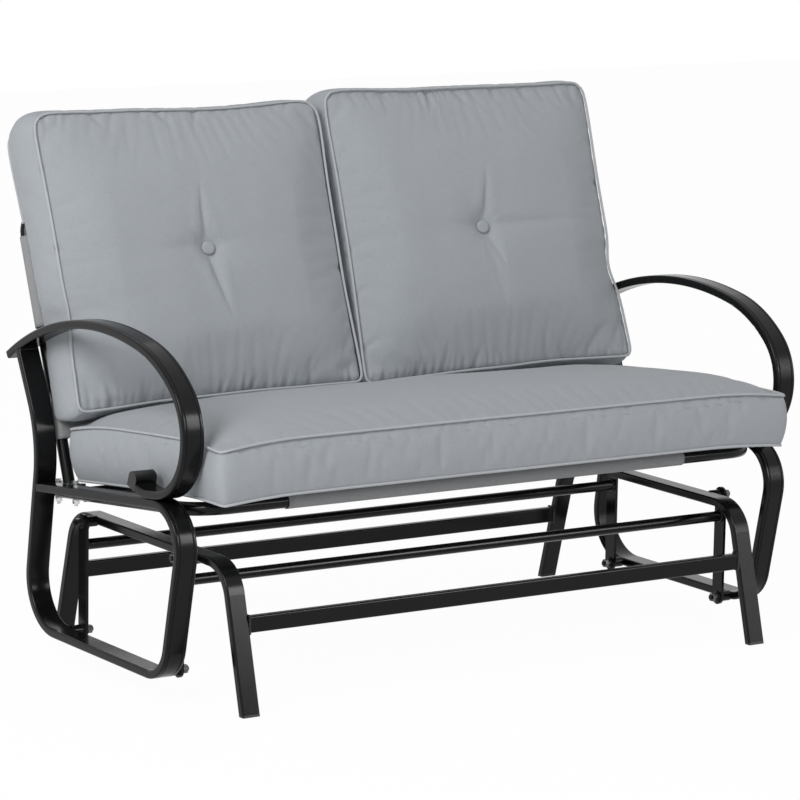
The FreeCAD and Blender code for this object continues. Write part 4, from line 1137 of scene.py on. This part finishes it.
class LOVESEAT_OT_slings(bpy.types.Operator):
    """Makes the seat sling and the back sling with their sleeves and stitched hems"""
    bl_idname = "loveseat.slings"
    bl_label = "Slings"

    def execute(self, context):
        look = context.scene.loveseat_cushions
        trim = context.scene.loveseat_trim
        self.seat_sling(Rest("seat_sling", seat_axis(look)), trim)
        self.back_sling(Rest("back_sling", back_axis(look)), trim)
        return {"FINISHED"}

    def stitches(self, name, paths, trim):
        size = (trim.stitch_width, trim.stitch_width, trim.stitch_length / 2)
        rows = repeat_along(name, paths, trim.stitch_spacing, size, *STITCH_CHANCE, finish("grey_thread"))
        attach(rows, "seat")
        return rows

    def seat_sling(self, rest, trim):
        outer = rest.half_w
        span = 2 * (rest.half_v - outer)
        path = wrapped_path(span, outer - trim.sling_thickness / 2, SEAT_SLING_STEPS)
        rows = even_rows(rest.half_u, SEAT_SLING_ROWS)

        def place(spot, across):
            return rest.at(across, spot[0] - span / 2, outer + spot[1])

        cloth = sling_cloth("seat_sling_cloth", path, rows, place, trim.sling_thickness)
        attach(cloth, "seat")
        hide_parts("seat_sling")
        hems = []
        hem_half = rest.half_u - SEAT_HEM_INSET
        for end in (-1, 1):
            for inward in SEAT_HEMS:
                spot = end * (span / 2 - inward * outer)
                height = 2 * outer - sag(spot / span + 0.5)
                hems.append([rest.at(side * hem_half, spot, height) for side in (-1, 1)])
        rows_piece = self.stitches("seat_sling_stitches", hems, trim)

    def back_sling(self, rest, trim):
        outer = rest.half_w
        span = 2 * (rest.half_u - outer)
        path = wrapped_path(span, outer - trim.sling_thickness / 2, BACK_SLING_STEPS)
        rows = even_rows(rest.half_v, round(2 * rest.half_v / BACK_SLING_RISE))
        notch_low, notch_high = (level - rest.half_v for level in NOTCH)

        def keeps(i, j):
            middle = (rows[j] + rows[j + 1]) / 2
            if not notch_low < middle < notch_high:
                return True
            sheet = WRAP_STEPS <= i < len(path) - WRAP_STEPS - 1
            place = (path[i][0] + path[i + 1][0]) / 2
            return sheet and NOTCH_CLEAR < place < span - NOTCH_CLEAR

        def place(spot, height):
            return rest.at(spot[0] - span / 2, height, outer + spot[1])

        cloth = sling_cloth("back_sling_cloth", path, rows, place, trim.sling_thickness, keeps)
        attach(cloth, "seat")
        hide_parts("back_sling")
        hems = []
        for mirror in (-1, 1):
            for inward in BACK_HEMS:
                across = mirror * (span / 2 - inward * outer)
                for low, high in ((-rest.half_v, notch_low), (notch_high, rest.half_v)):
                    ends = (low + BACK_HEM_INSET, high - BACK_HEM_INSET)
                    hems.append([rest.at(across, level, 2 * outer) for level in ends])
        rows_piece = self.stitches("back_sling_stitches", hems, trim)


# Jitter of the beads' size, and its seed
BEAD_CHANCE = (0.14, 7)

WELD_INSET = 0.0008
POST_BAND = 0.012
POST_INSET = 0.004
RING_STEPS = 24
BAR_STEPS = 5
SADDLE_INSET = 0.011


class LOVESEAT_OT_welds(bpy.types.Operator):
    """Lays weld beads where tubes and bars meet"""
    bl_idname = "loveseat.welds"
    bl_label = "Weld beads"

    def execute(self, context):
        trim = context.scene.loveseat_trim
        rings = {"base": [], "front_swing": [], "rear_swing": [], "seat": []}
        for end in ("front", "rear"):
            rings["base"] += self.bar_ends(end + "_stretcher")
            rings[end + "_swing"] += self.tube_ends(end + "_cross_tube")
        rings["seat"] += self.tube_ends("seat_rear_bar", SADDLE_INSET)
        rings["seat"] += self.post_tops()
        size = (trim.bead_radius, trim.bead_radius, 0.8 * trim.bead_radius)
        for body, paths in rings.items():
            bead = repeat_along(
                body + "_weld_beads", paths, trim.bead_spacing, size, *BEAD_CHANCE,
                finish("black_weld_bead"))
            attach(bead, body)
        return {"FINISHED"}

    def bar_ends(self, node):
        """Rings round the ends of a flat bar that runs across."""
        low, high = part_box(node)
        rings = []
        for x, inward in ((low.x, 1), (high.x, -1)):
            at = x + inward * WELD_INSET
            corners = ((low.y, low.z), (high.y, low.z), (high.y, high.z), (low.y, high.z))
            ring = []
            for k, (y, z) in enumerate(corners):
                after = corners[(k + 1) % 4]
                for step in range(BAR_STEPS):
                    share = step / BAR_STEPS
                    ring.append(Vector((at, y + (after[0] - y) * share, z + (after[1] - z) * share)))
            ring.append(ring[0].copy())
            rings.append(ring)
        return rings

    def tube_ends(self, node, inset=0.0):
        """Rings round the ends of a round tube that runs across."""
        low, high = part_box(node)
        radius = (high.z - low.z) / 2
        rings = []
        for x, inward in ((low.x, 1), (high.x, -1)):
            ring = []
            for k in range(RING_STEPS + 1):
                angle = math.tau * k / RING_STEPS
                saddle = inset * (1 - math.sqrt(max(0.0, 1 - math.sin(angle) ** 2 * 0.9)))
                y = (low.y + high.y) / 2 + radius * math.cos(angle)
                z = (low.z + high.z) / 2 + radius * math.sin(angle)
                ring.append(Vector((x + inward * (WELD_INSET + inset - saddle), y, z)))
            ring[-1] = ring[0].copy()
            rings.append(ring)
        return rings

    def post_tops(self):
        """Lines across the front and rear of each rear post, under the arm."""
        lines = []
        for node in ("left_side_frame", "right_side_frame"):
            spots = node_points(node)
            top = max(spot.z for spot in spots)
            high = [spot for spot in spots if spot.z > top - POST_BAND]
            for pick in (min, max):
                edge = pick(spot.y for spot in high)
                level = max(spot.z for spot in high if abs(spot.y - edge) < 0.0008)
                across = [spot.x for spot in high]
                ends = (min(across) + POST_INSET, max(across) - POST_INSET)
                lines.append([Vector((x, edge, level - 0.001)) for x in ends])
        return lines


FLOOR_HALF = 9.0
FLOOR_GLOW = 0.97
LAMP_AIM = Vector((0, 0, 0.45))
SENSOR_WIDTH = 36
CLIP_END = 60

# Place and size of each lamp
KEY_LAMP = ((-4.0, -1.9, 3.3), (2.2, 2.2))
FILL_LAMP = ((3.4, -3.4, 1.5), (2.4, 2.0))
CARD_LAMP = ((2.45, -4.0, 2.1), (1.5, 1.7))


class LOVESEAT_OT_studio(bpy.types.Operator):
    """Sets the pale floor, the soft lamps, the world and the camera"""
    bl_idname = "loveseat.studio"
    bl_label = "Studio"

    def execute(self, context):
        stage = context.scene.loveseat_stage
        context.scene.view_settings.view_transform = "Standard"
        self.floor(stage)
        self.world(context, stage)
        self.lamp("key_lamp", *KEY_LAMP, stage.key_power)
        self.lamp("fill_lamp", *FILL_LAMP, stage.fill_power)
        card = self.lamp("card_lamp", *CARD_LAMP, stage.card_power)
        card.visible_diffuse = False
        self.camera(context, stage)
        return {"FINISHED"}

    def floor(self, stage):
        corners = [(x * FLOOR_HALF, y * FLOOR_HALF, 0) for x, y in ((-1, -1), (1, -1), (1, 1), (-1, 1))]
        material, tree, shader = new_material("pale_floor")
        feed(tree, shader, {
            "Base Color": (*stage.floor_colour, 1), "Roughness": 0.9, "Specular IOR Level": 0.0})
        white = add_node(tree, "ShaderNodeEmission", {"Strength": 1.0})
        rays = tree.nodes.new("ShaderNodeLightPath").outputs
        seen = math_node(tree, "MAXIMUM", rays["Is Camera Ray"], rays["Is Glossy Ray"])
        share = math_node(tree, "MULTIPLY", seen, FLOOR_GLOW)
        blend_shaders(tree, share, shader, white, "Material Output")
        floor = new_object("studio_floor", corners, [[0, 1, 2, 3]], material)

    def world(self, context, stage):
        world = bpy.data.worlds.new("studio_world")
        world.use_nodes = True
        tree = world.node_tree
        light = tree.nodes["Background"]
        feed(tree, light, {"Color": (1, 1, 1, 1), "Strength": stage.world_strength})
        white = add_node(tree, "ShaderNodeBackground", {"Color": (1, 1, 1, 1), "Strength": 1.0})
        rays = tree.nodes.new("ShaderNodeLightPath").outputs
        mirrored = math_node(tree, "MULTIPLY", rays["Is Glossy Ray"], stage.mirrored_strength)
        seen = math_node(tree, "MAXIMUM", rays["Is Camera Ray"], mirrored)
        blend_shaders(tree, seen, light, white, "World Output")
        context.scene.world = world

    def lamp(self, name, place, size, power):
        data = bpy.data.lights.new(name, "AREA")
        data.shape = "RECTANGLE"
        data.size, data.size_y = size
        data.energy = power
        lamp = bpy.data.objects.new(name, data)
        aim = LAMP_AIM - Vector(place)
        lamp.rotation_euler = aim.to_track_quat("-Z", "Y").to_euler()
        lamp.location = place
        bpy.context.collection.objects.link(lamp)
        return lamp

    def camera(self, context, stage):
        yaw, pitch, roll = stage.camera_yaw, stage.camera_pitch, stage.camera_roll
        ahead = Vector((
            math.sin(yaw) * math.cos(pitch), math.cos(yaw) * math.cos(pitch), -math.sin(pitch)))
        right = Vector((math.cos(yaw), -math.sin(yaw), 0))
        down = ahead.cross(right)
        side = right * math.cos(roll) - down * math.sin(roll)
        below = right * math.sin(roll) + down * math.cos(roll)
        turn = Matrix((side, -below, -ahead)).transposed()
        data = bpy.data.cameras.new("photo_camera")
        data.lens = stage.camera_lens
        data.sensor_width = SENSOR_WIDTH
        data.clip_end = CLIP_END
        camera = bpy.data.objects.new("photo_camera", data)
        camera.matrix_world = Matrix.Translation(stage.camera_place) @ turn.to_4x4()
        bpy.context.collection.objects.link(camera)
        context.scene.camera = camera


class LOVESEAT_PT_panel(bpy.types.Panel):
    """Lists the loveseat's pieces"""
    bl_idname = "LOVESEAT_PT_panel"
    bl_label = "Loveseat"
    bl_space_type = "VIEW_3D"
    bl_region_type = "UI"
    bl_category = "Loveseat"

    def draw(self, context):
        for operator in STEPS:
            self.layout.operator(operator.bl_idname)


STEPS = (
    LOVESEAT_OT_finishes,
    LOVESEAT_OT_seat_cushion,
    LOVESEAT_OT_back_cushions,
    LOVESEAT_OT_buttons,
    LOVESEAT_OT_slings,
    LOVESEAT_OT_welds,
    LOVESEAT_OT_studio,
)
SETTINGS = {
    "loveseat_cushions": CushionSettings,
    "loveseat_finishes": FinishSettings,
    "loveseat_trim": TrimSettings,
    "loveseat_stage": StageSettings,
}
CLASSES = (*SETTINGS.values(), *STEPS, LOVESEAT_PT_panel)


def register():
    for entry in CLASSES:
        bpy.utils.register_class(entry)
    for name, group in SETTINGS.items():
        setattr(bpy.types.Scene, name, bpy.props.PointerProperty(type=group))


def unregister():
    for name in SETTINGS:
        delattr(bpy.types.Scene, name)
    for entry in reversed(CLASSES):
        bpy.utils.unregister_class(entry)


def main():
    register()
    bpy.ops.loveseat.finishes()
    bpy.ops.loveseat.seat_cushion()
    bpy.ops.loveseat.back_cushions()
    bpy.ops.loveseat.buttons()
    bpy.ops.loveseat.slings()
    bpy.ops.loveseat.welds()
    bpy.ops.loveseat.studio()


if __name__ == "__main__":
    main()
